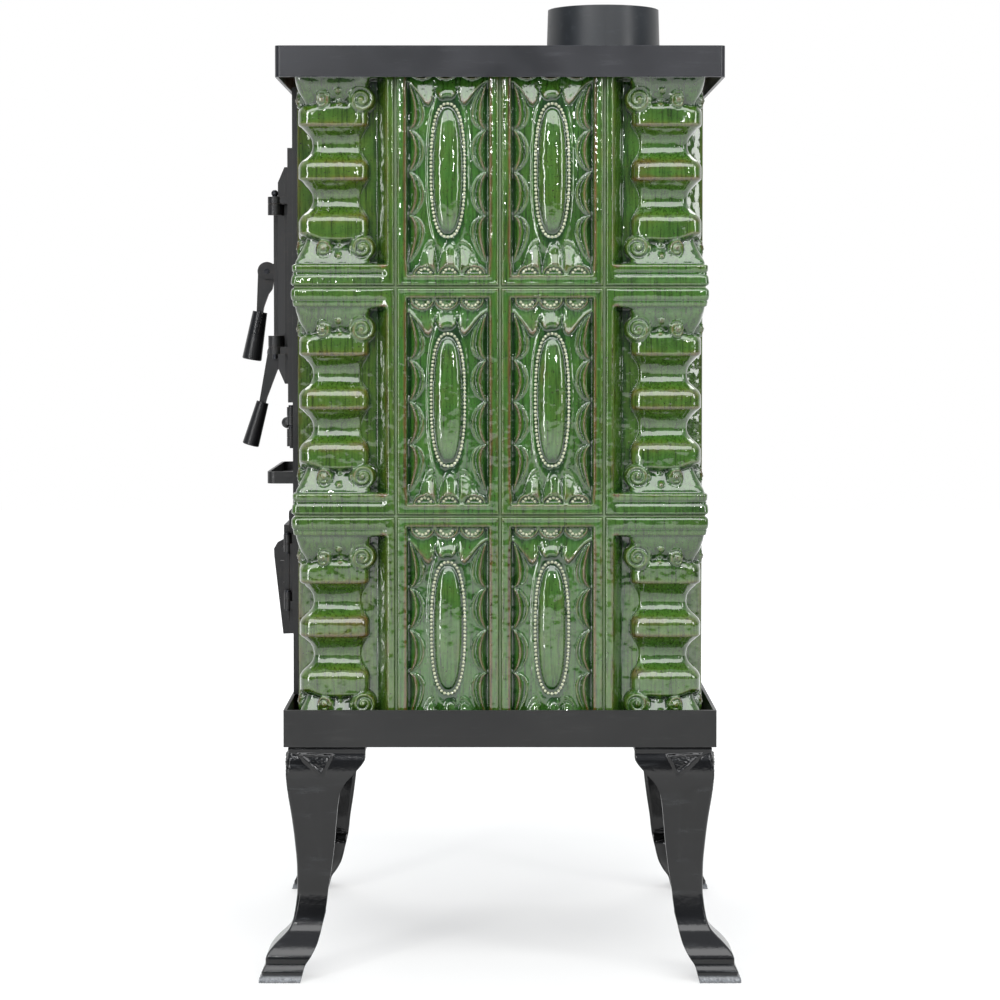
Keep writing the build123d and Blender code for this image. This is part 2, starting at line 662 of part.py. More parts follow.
lining_top = tile_top - COVER_THICK
fire_hole = (both(fire_throat_half), around(fire_z, FIRE_THROAT_HIGH))
ash_hole = (both(ash_throat_half), around(ash_z, ASH_THROAT_HIGH))
hatch_hole = (both(hatch_half - 2 * HATCH_LAP), around(hatch_z, HATCH_HIGH - 2 * HATCH_LAP))


def grown(hole, extra):
    """The same hole, larger by the same amount on every side."""
    return tuple((low - extra, high + extra) for low, high in hole)


frame_holes = [grown(hole, THROAT_WALL + SEAT_CLEAR) for hole in (fire_hole, ash_hole)]


def pierced(solid, holes, y):
    """Cut door holes through a wall of the front."""
    for x, z in holes:
        solid -= block(x, y, z)
    return solid


clay = block(both(clay_half), both(clay_half), (tray_floor, tile_top))
clay += block(both(front_gap_half), (-BODY_HALF, -brick_half), (tray_floor, tile_top))
clay -= block(both(brick_half), both(brick_half), (tray_floor, tile_top))
clay_holes = frame_holes + [grown(hatch_hole, CLAY_BACK)]
clay = pierced(clay, clay_holes, (-BODY_HALF, -brick_half))
keep("clay_wall", clay)

base = block(both(brick_half), both(brick_half), (tray_floor, ash_floor))
keep("base_slab", base)

side_steps = [
    (brick_half, ash_floor),
    (fire_half - LEDGE, ash_floor),
    (fire_half - LEDGE, hearth_z),
    (fire_half, hearth_z),
    (fire_half, baffle_z),
    (fire_half + LEDGE, baffle_z),
    (fire_half + LEDGE, lining_top),
    (brick_half, lining_top),
]
side_brick = extrude(Plane.XZ * make_face(Polyline(*side_steps, close=True)), fire_half, both=True)
keep("lining_right", side_brick)
keep("lining_left", mirror(side_brick, about=Plane.YZ))
keep("lining_back", block(both(brick_half), (fire_half, brick_half), (ash_floor, baffle_z)))
front_brick = block(both(brick_half), (-brick_half, -fire_half), (ash_floor, lining_top))
front_brick = pierced(front_brick, [fire_hole, ash_hole, hatch_hole], (-brick_half, -fire_half))
keep("lining_front", front_brick)

grate_half = fire_half - GRATE_MARGIN
hearth_top = hearth_z + HEARTH_THICK
hearth_half = fire_half - BRICK_CLEAR
hearth = block(both(hearth_half), both(hearth_half), (hearth_z, hearth_top))
well_half = grate_half - GRATE_LAP
hearth -= block(both(well_half), both(well_half), (hearth_z, hearth_top))
seat_half = grate_half + BRICK_CLEAR
hearth -= block(both(seat_half), both(seat_half), (hearth_top - GRATE_THICK, hearth_top))
keep("hearth_slab", hearth)

grate = block(both(grate_half), both(grate_half), (hearth_top - GRATE_THICK, hearth_top))
slot_count = int((2 * well_half + GRATE_BAR) // (GRATE_BAR + GRATE_SLOT))
for step in range(slot_count):
    place = (step - (slot_count - 1) / 2) * (GRATE_BAR + GRATE_SLOT)
    grate -= block(around(place, GRATE_SLOT), both(well_half), (hearth_top - GRATE_THICK, hearth_top))
keep("fire_grate", grate)

baffle_half = fire_half + LEDGE - BRICK_CLEAR
baffle_y = (-fire_half + BAFFLE_FRONT_GAP, brick_half - BRICK_CLEAR)
keep("baffle", block(both(baffle_half), baffle_y, (baffle_z, baffle_z + BAFFLE_THICK)))

cover = block(both(brick_half), both(brick_half), (lining_top, tile_top))
cover_half = top_half - SHEET - COVER_CLEAR
cover += block(both(cover_half), both(cover_half), (tile_top, plate_low))
cover -= upright(0, flue_y, FLUE_BORE_R + COVER_FLUE, lining_top, plate_low)
cover -= upright(0, flue_y, flange_r + BRICK_CLEAR, flange_low - BRICK_CLEAR / 2, plate_low)
keep("cover_slab", cover)

# ---------------------------------------------------------------- front plate and frames


def door_frame(half, high, middle_z, hole):
    """Cast frame: a plate around the hole, and a throat that lines the wall behind it."""
    frame = block(both(half), (frame_y, front_y), around(middle_z, high))
    x, z = grown(hole, THROAT_WALL)
    frame += block(x, (front_y, -brick_half - FACE_CLEAR), z)
    return pierced(frame, [hole], (frame_y, -brick_half))


def frame_screw_places(high, middle_z, door_high):
    """Four screws in the bands of the frame above and below the door."""
    rise = (high + door_high) / 4
    return [(x, middle_z + up) for x in both(SCREW_SPREAD) for up in both(rise)]


front_rise = (LEG_HIGH + TRAY_HIGH + PLATE_CLEAR, skirt_low - PLATE_CLEAR)
front_sheet = block(both(front_plate_half), (front_y, -BODY_HALF), front_rise)
front_sheet = pierced(front_sheet, frame_holes + [hatch_hole], (front_y, -BODY_HALF))
fire_frame = door_frame(fire_frame_half, FIRE_FRAME_HIGH, fire_z, fire_hole)
ash_frame = door_frame(ash_frame_half, ASH_FRAME_HIGH, ash_z, ash_hole)
fire_places = frame_screw_places(FIRE_FRAME_HIGH, fire_z, FIRE_DOOR_HIGH)
ash_places = frame_screw_places(ASH_FRAME_HIGH, ash_z, ASH_DOOR_HIGH)
frame_screws = []
for x, z in fire_places + ash_places:
    hole = inwards(x, z, SCREW_R + SCREW_CLEAR, frame_y, -BODY_HALF)
    front_sheet -= hole
    fire_frame -= hole
    ash_frame -= hole
    screw = inwards(x, z, SCREW_R, frame_y, -BODY_HALF)
    frame_screws.append(screw + inwards(x, z, SCREW_HEAD_R, frame_y - SCREW_HEAD_HIGH, frame_y))
keep("plate_screws", *screws, *frame_screws)

# ---------------------------------------------------------------- fire door and its hinge

low_lug = (fire_z - HINGE_SPREAD / 2 - HINGE_LUG / 2, fire_z - HINGE_SPREAD / 2 + HINGE_LUG / 2)
high_lug = (fire_z + HINGE_SPREAD / 2 - HINGE_LUG / 2, fire_z + HINGE_SPREAD / 2 + HINGE_LUG / 2)
low_ear = (low_lug[0] - HINGE_GAP - HINGE_EAR, low_lug[0] - HINGE_GAP)
high_ear = (high_lug[1] + HINGE_GAP, high_lug[1] + HINGE_GAP + HINGE_EAR)
for ear in (low_ear, high_ear):
    web = block(around(hinge_x, HINGE_WEB), (hinge_y, frame_y), ear)
    fire_frame += web + upright(hinge_x, hinge_y, HINGE_EYE_R, *ear)
    fire_frame -= upright(hinge_x, hinge_y, HINGE_PIN_R + HINGE_RUN, *ear)
keep("fire_door_frame", fire_frame)

pin_top = high_ear[1]
high_pin = upright(hinge_x, hinge_y, HINGE_PIN_R, high_lug[0] + PIN_SHORT, pin_top + PIN_HEAD_R)
high_pin += Pos(hinge_x, hinge_y, pin_top + PIN_HEAD_R) * Sphere(PIN_HEAD_R)
low_pin = upright(hinge_x, hinge_y, HINGE_PIN_R, low_ear[0] - PIN_TAIL, low_lug[1] - PIN_SHORT)
keep("fire_hinge_pins", high_pin, low_pin)

rim_front = fire_back_y - FIRE_DOOR_RIM
door_z = around(fire_z, FIRE_DOOR_HIGH)
fire_door = block(both(fire_door_half), (rim_front, fire_back_y), door_z)


def door_slice(half, high, y):
    """Upright rectangle across the door at depth y."""
    face = Plane((0, y, fire_z), x_dir=(1, 0, 0), z_dir=(0, -1, 0))
    return face * Rectangle(2 * half, high)


bevel_half = fire_door_half - FIRE_BEVEL_SIDE
bevel_high = FIRE_DOOR_HIGH - 2 * FIRE_BEVEL_TOP
slices = [door_slice(fire_door_half, FIRE_DOOR_HIGH, rim_front), door_slice(bevel_half, bevel_high, fire_front_y)]
fire_door += loft(slices, ruled=True)
window_z = around(fire_z, window_high)
fire_door -= block(both(window_half), (fire_front_y, fire_back_y), window_z)
for lug in (low_lug, high_lug):
    web = block((fire_door_half - HINGE_ROOT, hinge_x), around(hinge_y + HINGE_EYE_R / 2, HINGE_EYE_R), lug)
    fire_door += web + upright(hinge_x, hinge_y, HINGE_EYE_R, *lug)
    fire_door -= upright(hinge_x, hinge_y, HINGE_PIN_R + HINGE_RUN, *lug)

seal_out = fire_door_half - SEAL_IN
seal_rise = around(fire_z, FIRE_THROAT_HIGH + 2 * (seal_out - fire_throat_half))
groove_y = (fire_back_y - SEAL_DEEP, fire_back_y)
groove = block(both(seal_out), groove_y, seal_rise)
inside_z = (seal_rise[0] + SEAL_WIDE, seal_rise[1] - SEAL_WIDE)
groove -= block(both(seal_out - SEAL_WIDE), groove_y, inside_z)
fire_door -= groove
keep("door_seal", groove)

glass_half = window_half + GLASS_LAP
glass_z = around(fire_z, window_high + 2 * GLASS_LAP)
glass_seat = GLASS_THICK + 2 * GLASS_CLEAR
retainer_z = around(fire_z, window_high + 2 * RETAINER_END)
retainer = block(both(retainer_half), (retainer_y, fire_front_y), retainer_z)
seat_x, seat_z = grown((both(glass_half), glass_z), GLASS_ROOM)
retainer -= block(seat_x, (fire_front_y - glass_seat, fire_front_y), seat_z)
retainer -= block(both(window_half), (retainer_y, fire_front_y), window_z)
glass_y = (fire_front_y - GLASS_CLEAR - GLASS_THICK, fire_front_y - GLASS_CLEAR)
keep("door_glass", block(both(glass_half), glass_y, glass_z))
glass_screws = []
screw_end = fire_front_y + GLASS_SCREW_DEEP
for x in both(retainer_half - GLASS_SCREW_IN):
    for z in (retainer_z[0] + GLASS_SCREW_IN, retainer_z[1] - GLASS_SCREW_IN):
        hole = inwards(x, z, GLASS_SCREW_R + SCREW_CLEAR, retainer_y, screw_end + END_GAP)
        retainer -= hole
        fire_door -= hole
        screw = inwards(x, z, GLASS_SCREW_R, retainer_y, screw_end)
        glass_screws.append(screw + inwards(x, z, GLASS_HEAD_R, retainer_y - GLASS_HEAD_HIGH, retainer_y))
keep("glass_frame", retainer)
keep("glass_screws", *glass_screws)


def fork(x, pivot_y, pivot_z, back_y, eye_r, pin_r, foot):
    """Two cheeks on a door that carry the pivot of a lever, and the pin through them."""
    inner = LATCH_THICK / 2 + CHEEK_CLEAR
    cheeks = []
    for side in (-1, 1):
        low = x + side * (inner + CHEEK / 2) - CHEEK / 2
        cheek = block((low, low + CHEEK), (pivot_y, back_y), around(pivot_z, foot))
        cheek += across(low, low + CHEEK, pivot_y, pivot_z, eye_r)
        cheeks.append(cheek - across(low, low + CHEEK, pivot_y, pivot_z, pin_r + HINGE_RUN))
    reach = inner + CHEEK + PIN_PROUD
    pin = across(x - reach, x + reach, pivot_y, pivot_z, pin_r)
    return cheeks, pin


def lever_plate(x, y, z, outline, eye_r, pin_r):
    """Flat lever in an upright plane: an outline around its pivot, given as (Y, Z)."""
    face = Plane((x, y, z), x_dir=(0, 1, 0), z_dir=(1, 0, 0))
    plate = extrude(face * make_face(Polyline(*outline, close=True)), LATCH_THICK / 2, both=True)
    plate += across(x - LATCH_THICK / 2, x + LATCH_THICK / 2, y, z, eye_r)
    return plate - across(x - LATCH_THICK / 2, x + LATCH_THICK / 2, y, z, pin_r + HINGE_RUN)


def lean(y, z, degrees):
    """Turn a point (Y, Z) of a hanging lever outwards, which is towards -Y."""
    turn = math.radians(degrees)
    return (y * math.cos(turn) + z * math.sin(turn), z * math.cos(turn) - y * math.sin(turn))


def grip(x, y, z, along, degrees, length, top_r, end_r):
    """Tapered sleeve with a rounded end, slid over the tail of a lever."""
    sleeve = Cone(end_r, top_r, length)
    sleeve = fillet(sleeve.faces().sort_by(Axis.Z)[0].edges(), GRIP_ROUND)
    room = 2 * GRIP_CLEAR
    socket = Box(LATCH_THICK + room, TAIL_WIDE + room, GRIP_SOCKET + room)
    sleeve -= Pos(0, 0, (length - GRIP_SOCKET) / 2) * socket
    place = lean(0, -along - length / 2, degrees)
    return Pos(x, y + place[0], z + place[1]) * Rot(-degrees, 0, 0) * sleeve


def hanging_lever(x, y, z, neck, degrees, nose):
    """Lever with a nose towards the door, a waisted neck and a tail inside the grip."""
    tail = neck + GRIP_SOCKET - END_GAP
    half = TAIL_WIDE / 2
    outline = [
        (-9.0, -4.0), (-half, -neck), (-half, -tail), (half, -tail), (half, -neck + 6),
        (6.0, -nose - 6), (9.0, -nose), (9.5, 2.0),
    ]
    return lever_plate(x, y, z, [lean(*point, degrees) for point in outline], LATCH_EYE_R, LATCH_PIN_R)


latch_y = retainer_y - LATCH_OUT
latch_z = fire_z + LATCH_UP
low_latch_y = retainer_y - LOW_LATCH_OUT
low_latch_z = fire_z - LOW_LATCH_DOWN
root_y = fire_front_y + HINGE_ROOT
cheeks, high_latch_pin = fork(latch_x, latch_y, latch_z, root_y, CHEEK_R, LATCH_PIN_R, 2 * CHEEK_R)
low_cheeks, low_latch_pin = fork(
    latch_x, low_latch_y, low_latch_z, root_y, LOW_CHEEK_R, LATCH_PIN_R, 2 * LOW_CHEEK_R)
for cheek in cheeks + low_cheeks:
    fire_door += cheek
keep("fire_door", fire_door)
keep("latch_pins", high_latch_pin, low_latch_pin)
pivot = (latch_x, latch_y, latch_z)
keep("latch_lever", hanging_lever(*pivot, LATCH_NECK, LATCH_LEAN, LATCH_NOSE))
keep("latch_grip", grip(*pivot, LATCH_NECK, LATCH_LEAN, GRIP_LONG, GRIP_TOP_R, GRIP_END_R))
pivot = (latch_x, low_latch_y, low_latch_z)
keep("lower_lever", hanging_lever(*pivot, LOW_LATCH_NECK, LOW_LATCH_LEAN, LOW_LATCH_NOSE))
sleeve = grip(*pivot, LOW_LATCH_NECK, LOW_LATCH_LEAN, LOW_GRIP_LONG, LOW_GRIP_TOP_R, LOW_GRIP_END_R)
keep("lower_grip", sleeve)

# ---------------------------------------------------------------- cleaning hatch


def knuckle_hinge(x, y, middle_z, spread, long, eye_r, pin_r, back_y, edge_x, door_y):
    """Two pairs of knuckles on an upright pin: lower one fixed, upper one on the door."""
    fixed = []
    moving = []
    pins = []
    for up in both(spread / 2):
        split = middle_z + up
        low = (split - long, split - HINGE_GAP)
        high = (split, split + long)
        bore = upright(x, y, pin_r + HINGE_RUN, split - long, split + long)
        foot = around(x, 2 * (eye_r - KNUCKLE_NECK))
        eye = upright(x, y, eye_r, *low) + block(foot, (y, back_y), low)
        fixed.append(eye - bore)
        eye = upright(x, y, eye_r, *high) + block((edge_x - KNUCKLE_ROOT, x), door_y, high)
        moving.append(eye - bore)
        pin = upright(x, y, pin_r, low[0] - SMALL_PIN_OUT, high[1])
        pins.append(pin + upright(x, y, pin_r + SMALL_HEAD_WIDER, high[1], high[1] + SMALL_PIN_OUT))
    return fixed, moving, pins


hatch_y = (front_y - FACE_CLEAR - HATCH_THICK, front_y - FACE_CLEAR)
hatch_axis = (hatch_half + HATCH_EYE_R + HATCH_EDGE, front_y - HATCH_EYE_R - FACE_CLEAR)
knuckles = knuckle_hinge(
    *hatch_axis, hatch_z, HATCH_HIGH / 2, HATCH_KNUCKLE, HATCH_EYE_R, HATCH_PIN_R, front_y, hatch_half, hatch_y)
for knuckle in knuckles[0]:
    front_sheet += knuckle
hatch = block(both(hatch_half), hatch_y, around(hatch_z, HATCH_HIGH))
for knuckle in knuckles[1]:
    hatch += knuckle
hatch_pins = knuckles[2]
knob_x = -hatch_half + 2 * HATCH_KNOB_R
knob = inwards(knob_x, hatch_z, HATCH_KNOB_NECK, hatch_y[0] - HATCH_KNOB_OUT, hatch_y[0])
knob += Pos(knob_x, hatch_y[0] - HATCH_KNOB_OUT, hatch_z) * Sphere(HATCH_KNOB_R)
keep("hatch", hatch + knob)
keep("front_plate", front_sheet)

# ---------------------------------------------------------------- ember tray

ember_y = (front_y - EMBER_OUT, front_y)
ember = block(both(ember_half), ember_y, (ember_low, ember_low + EMBER_HIGH))
corners_out = ember.edges().filter_by(Axis.Z).sort_by(Axis.Y)[:2]
ember = fillet(corners_out, EMBER_ROUND)
inside = block(
    both(ember_half - EMBER_SHEET),
    (ember_y[0] + EMBER_SHEET, ember_y[1] - EMBER_SHEET),
    (ember_low + EMBER_SHEET, ember_low + EMBER_HIGH),
)
corners_in = inside.edges().filter_by(Axis.Z).sort_by(Axis.Y)[:2]
ember -= fillet(corners_in, EMBER_ROUND - EMBER_SHEET)
keep("ember_tray", ember)

# ---------------------------------------------------------------- ash door

ash_y = (ash_front_y, ash_back_y)
knuckles = knuckle_hinge(
    ash_hinge_x, ash_hinge_y, ash_z, ASH_HINGE_SPREAD, ASH_KNUCKLE, ASH_EYE_R, ASH_PIN_R, front_y, ash_door_half,
    (ash_front_y, ash_back_y))
for knuckle in knuckles[0]:
    ash_frame += knuckle
hinge_leaf = around(ash_z, ASH_HINGE_SPREAD + 2 * ASH_KNUCKLE)
ash_frame += block((ash_frame_half - KNUCKLE_ROOT, ash_hinge_x), (front_y - ASH_LEAF, front_y), hinge_leaf)
keep("ash_door_frame", ash_frame)
keep("small_hinge_pins", *hatch_pins, *knuckles[2])
ash_door = block(both(ash_door_half), ash_y, around(ash_z, ASH_DOOR_HIGH))
for knuckle in knuckles[1]:
    ash_door += knuckle
slot_pitch = 2 * slide_half / (AIR_SLOTS + 0.5)
slot_z = around(ash_z, AIR_SLOT_HIGH)
slide_y = (ash_front_y - SLIDE_CLEAR - SLIDE_THICK, ash_front_y - SLIDE_CLEAR)
slide = block(both(slide_half), slide_y, around(ash_z, SLIDE_HIGH))
for step in range(AIR_SLOTS):
    place = (step - (AIR_SLOTS - 1) / 2) * slot_pitch
    ash_door -= block(around(place, AIR_SLOT_WIDE), ash_y, slot_z)
    slide -= block(around(place + SLIDE_TRAVEL, AIR_SLOT_WIDE), slide_y, slot_z)
rail_half = slide_half + SLIDE_TRAVEL + SLIDE_RAIL_END
for side in (-1, 1):
    outer = ash_z + side * (SLIDE_HIGH / 2 + 2 * SLIDE_CLEAR + SLIDE_RAIL / 2)
    rail_y = (slide_y[0] - SLIDE_CLEAR, ash_front_y)
    ash_door += block(both(rail_half), rail_y, around(outer, SLIDE_RAIL))
    lip = ash_z + side * (SLIDE_HIGH / 2 - SLIDE_LIP_OVER + SLIDE_RAIL / 2)
    lip_y = (slide_y[0] - SLIDE_CLEAR - SLIDE_LIP, slide_y[0] - SLIDE_CLEAR)
    ash_door += block(both(rail_half), lip_y, around(lip, SLIDE_RAIL + 3 * SLIDE_LIP_OVER))
tab_x = around(slide_half - SLIDE_TAB_IN, SLIDE_TAB)
tab = block(tab_x, (slide_y[0] - SLIDE_TAB, slide_y[0]), around(ash_z, SLIDE_TAB_TALL))
keep("air_slide", slide + tab)
ash_latch_y = ash_front_y - ASH_LATCH_OUT
ash_latch_z = ash_z + ASH_LATCH_UP
ash_cheeks, ash_latch_pin = fork(
    latch_x, ash_latch_y, ash_latch_z, ash_front_y, LOW_CHEEK_R, LATCH_PIN_R, 2 * LOW_CHEEK_R)
for cheek in ash_cheeks:
    ash_door += cheek
keep("ash_door", ash_door)
keep("ash_latch_pin", ash_latch_pin)
end_half = ASH_LATCH_END / 2
latch_tail = [
    (-2, ASH_LATCH_R), (-9, 9.5), (-ASH_LATCH_R, 3), (-ASH_LATCH_R, -5), (-end_half - 1.5, -ASH_LATCH_LONG),
    (end_half - 0.5, -ASH_LATCH_LONG), (end_half, -48), (1.5, -40), (0, -31), (2, -22), (6, -14), (7, 5),
]
outline = [lean(*point, ASH_LATCH_LEAN) for point in latch_tail]
ash_latch = lever_plate(latch_x, ash_latch_y, ash_latch_z, outline, ASH_LATCH_EYE_R, LATCH_PIN_R)
keep("ash_latch", ash_latch)

# ---------------------------------------------------------------- ash pan

pan_half = ash_throat_half - PAN_SIDE_CLEAR
pan_low = ash_floor + PAN_FLOOR_CLEAR
pan_y = (ash_back_y + PAN_RECESS, fire_half - PAN_BACK_GAP)
pan_z = (pan_low, pan_low + PAN_HIGH)
pan = block(both(pan_half), pan_y, pan_z)
pan_inside = (pan_y[0] + PAN_SHEET, pan_y[1] - PAN_SHEET)
pan -= block(both(pan_half - PAN_SHEET), pan_inside, (pan_low + PAN_SHEET, pan_z[1]))
lip_z = (pan_z[1] - PAN_LIP_THICK, pan_z[1])
lip = block(both(PAN_LIP_HALF), (pan_y[0] - PAN_LIP_OUT, pan_y[0]), lip_z)
keep("ash_pan", pan + lip)

# ---------------------------------------------------------------- write the pieces

whole = Compound(children=[Compound(solids) for solids in nodes.values()])
bounds = whole.bounding_box()
origin = Vector((bounds.min.X + bounds.max.X) / 2, (bounds.min.Y + bounds.max.Y) / 2, bounds.min.Z)
os.makedirs("parts", exist_ok=True)
for name, solids in nodes.items():
    placed = [Pos(-origin.X, -origin.Y, -origin.Z) * solid for solid in solids]
    shape = placed[0] if len(placed) == 1 else Compound(placed)
    export_step(shape, "parts/" + name + ".step")
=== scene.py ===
import json
import math
import bpy
import numpy as np
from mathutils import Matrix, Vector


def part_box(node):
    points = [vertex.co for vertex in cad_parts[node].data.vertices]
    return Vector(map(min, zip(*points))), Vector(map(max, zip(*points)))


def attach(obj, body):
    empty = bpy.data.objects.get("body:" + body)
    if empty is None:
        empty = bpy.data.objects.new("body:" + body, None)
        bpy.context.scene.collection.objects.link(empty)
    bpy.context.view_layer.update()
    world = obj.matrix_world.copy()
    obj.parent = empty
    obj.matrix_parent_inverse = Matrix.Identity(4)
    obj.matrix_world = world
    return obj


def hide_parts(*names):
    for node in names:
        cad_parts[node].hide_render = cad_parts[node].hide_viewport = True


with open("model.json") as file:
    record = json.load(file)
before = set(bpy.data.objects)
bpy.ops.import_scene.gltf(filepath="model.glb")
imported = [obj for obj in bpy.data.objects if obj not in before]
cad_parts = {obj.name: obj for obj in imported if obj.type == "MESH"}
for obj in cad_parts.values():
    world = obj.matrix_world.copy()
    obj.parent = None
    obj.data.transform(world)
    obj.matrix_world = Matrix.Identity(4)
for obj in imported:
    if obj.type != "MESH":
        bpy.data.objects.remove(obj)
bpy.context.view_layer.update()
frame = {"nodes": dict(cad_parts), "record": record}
scene = bpy.context.scene
scene.view_settings.view_transform = "Standard"
thin = 1

# ---------------------------------------------------------------- the stove's own lines, in metres
MM = 0.001
tray_low, tray_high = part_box("base_tray")
middle_y = (tray_low.y + tray_high.y) / 2
wall_low, wall_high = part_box("tiles_right_side_front")
face = wall_high.x
tile_back = wall_low.x


def linear(hexa):
    """An sRGB hex colour as the linear colour that a shader socket takes."""
    part = [int(hexa[i : i + 2], 16) / 255 for i in (0, 2, 4)]
    return tuple(c / 12.92 if c <= 0.04045 else ((c + 0.055) / 1.055) ** 2.4 for c in part) + (1.0,)


# ---------------------------------------------------------------- materials
def new_material(name):
    """An empty node material: its node tree, and the output node to link to."""
    made = bpy.data.materials.new(name)
    made.use_nodes = True
    made.node_tree.nodes.clear()
    out = made.node_tree.nodes.new("ShaderNodeOutputMaterial")
    return made, made.node_tree, out


def node(tree, kind, sockets=None, **settings):
    """Adds a node of a kind. Settings are its properties. Each socket gets a number, a colour or another output."""
    made = tree.nodes.new("ShaderNode" + kind)
    for key, value in settings.items():
        setattr(made, key, value)
    for key, value in (sockets or {}).items():
        if isinstance(value, bpy.types.NodeSocket):
            tree.links.new(value, made.inputs[key])
        else:
            made.inputs[key].default_value = value
    return made


def ramp(tree, factor, stops, out="Color"):
    """A colour ramp over a factor. Stops are (place, hex colour or grey level)."""
    made = node(tree, "ValToRGB", {"Fac": factor})
    band = made.color_ramp
    while len(band.elements) > 1:
        band.elements.remove(band.elements[-1])
    for i, (place, colour) in enumerate(stops):
        stop = band.elements[0] if i == 0 else band.elements.new(place)
        stop.position = place
        stop.color = linear(colour) if isinstance(colour, str) else (colour, colour, colour, 1.0)
    return made.outputs[out]


def mix(tree, factor, one, two, blend_type="MIX"):
    """One colour blended with another by a factor."""
    made = node(tree, "Mix", {0: factor, 6: one, 7: two}, data_type="RGBA", blend_type=blend_type)
    return made.outputs[2]


def sums(tree, operation, one, two):
    """Arithmetic on two values."""
    return node(tree, "Math", {0: one, 1: two}, operation=operation).outputs[0]


def noise(tree, place, grain_mm, detail=4.0, rough=0.55):
    """Noise whose grains are about so many millimetres across."""
    sockets = {"Vector": place, "Scale": 1.0 / (grain_mm * MM), "Detail": detail, "Roughness": rough}
    return node(tree, "TexNoise", sockets).outputs[0]


def object_place(tree, stretch=(1.0, 1.0, 1.0)):
    """Object coordinates in metres, stretched along the axes."""
    own = node(tree, "TexCoord").outputs["Object"]
    return node(tree, "Mapping", {"Vector": own, "Scale": stretch}).outputs[0]


def bumped(tree, height, strength, depth_mm):
    """A bump normal from a height pattern that is so many millimetres deep."""
    return node(tree, "Bump", {"Height": height, "Strength": strength, "Distance": depth_mm * MM}).outputs[0]


def surfaced(tree, out, sockets):
    """Ends a material in one shader with these sockets."""
    shader = node(tree, "BsdfPrincipled", sockets)
    tree.links.new(shader.outputs[0], out.inputs["Surface"])


def centred(tree, pattern, share):
    """A pattern around 0.5 as a change of up to half the share either way."""
    return sums(tree, "MULTIPLY", sums(tree, "SUBTRACT", pattern, 0.5), share)


# From where the glaze is thinnest, over the clay, to where it lies thickest.
GLAZE_BY_DEPTH = [(0.0, "56431d"), (0.14, "534a20"), (0.27, "4b5924"), (0.40, "416525"), (0.54, "366023"),
    (0.72, "28501e"), (0.95, "173816")]
KILN_BROWN = (1.5, 0.97, 0.82, 1.0)  # what a browner firing multiplies the glaze's colour by


def glazed_tile_material():
    """Clear green glaze, poured over moulded earthenware and fired. It looks wet: where it lies thick in the hollows
    it is deep green, and where it ran thin off the sharp edges the brown clay shows through. It ran down the tile
    before it set, so its depth varies in upright streaks, and it is a little wavy and pitted. Some tiles, most of
    all the corner ones, came out of the kiln browner, and so did patches of the others."""
    made, tree, out = new_material("green_glazed_earthenware")
    at = object_place(tree)
    # This attribute is how thick the glaze lies, with painted shade along the ring of beads and painted light in the
    # corner tiles' deep field added in.
    glaze_pool_and_painted_light = node(tree, "Attribute", attribute_name="glaze_pool_and_painted_light").outputs["Fac"]
    patch = noise(tree, at, 90, 2.0)
    cloud = noise(tree, at, 22)
    fine = noise(tree, at, 2.2, 3.0)
    runs = noise(tree, object_place(tree, (1.0, 1.0, 0.07)), 2.4, 3.0)
    thick = glaze_pool_and_painted_light
    for pattern, share in ((patch, 0.45), (cloud, 0.45), (fine, 0.2)):
        thick = sums(tree, "ADD", thick, centred(tree, pattern, share))
    colour = ramp(tree, thick, GLAZE_BY_DEPTH)
    streaks = ramp(tree, runs, [(0.32, "a9ab98"), (0.47, "e6e6d8"), (0.6, "ffffff")])
    colour = mix(tree, 1.0, colour, streaks, "MULTIPLY")
    warm = node(tree, "Attribute", attribute_name="warm").outputs["Fac"]
    warm = sums(tree, "ADD", warm, centred(tree, patch, 1.6))
    browner = mix(tree, 1.0, colour, KILN_BROWN, "MULTIPLY")
    colour = mix(tree, ramp(tree, warm, [(0.1, 0.0), (0.9, 1.0)]), colour, browner)
    pits = ramp(tree, noise(tree, at, 1.6, 1.0), [(0.26, 0.0), (0.36, 1.0)])
    colour = mix(tree, pits, linear("2a2b14"), colour)
    rough = ramp(tree, fine, [(0.3, 0.03), (0.75, 0.09)])
    wave = sums(tree, "ADD", noise(tree, at, 11, 1.0), sums(tree, "MULTIPLY", cloud, 0.8))
    grain = sums(tree, "ADD", sums(tree, "MULTIPLY", fine, 0.16), sums(tree, "MULTIPLY", runs, 0.10))
    skin = bumped(tree, grain, 0.5, 0.5)
    skin = node(tree, "Bump", {"Height": wave, "Strength": 0.55, "Distance": 1.0 * MM, "Normal": skin}).outputs[0]
    surfaced(tree, out, {"Base Color": colour, "Roughness": rough, "IOR": 1.68, "Normal": skin,
        "Coat Weight": 0.5, "Coat Roughness": 0.02, "Coat Normal": skin})
    return made


def bead_material():
    """The same glaze run thin over small beads, so the cream-brown clay shows; their paleness is partly painted sheen.
    """
    made, tree, out = new_material("thin_glaze_and_painted_sheen_on_beads")
    grain = noise(tree, object_place(tree), 5)
    # Pale colours: partly thin glaze, partly a painted sheen standing for the highlights the beads catch.
    colour = ramp(tree, grain, [(0.3, "8d9173"), (0.7, "b9bc9e")])
    surfaced(tree, out, {"Base Color": colour, "Roughness": 0.12, "IOR": 1.6,
        "Coat Weight": 0.5, "Coat Roughness": 0.03})
    return made


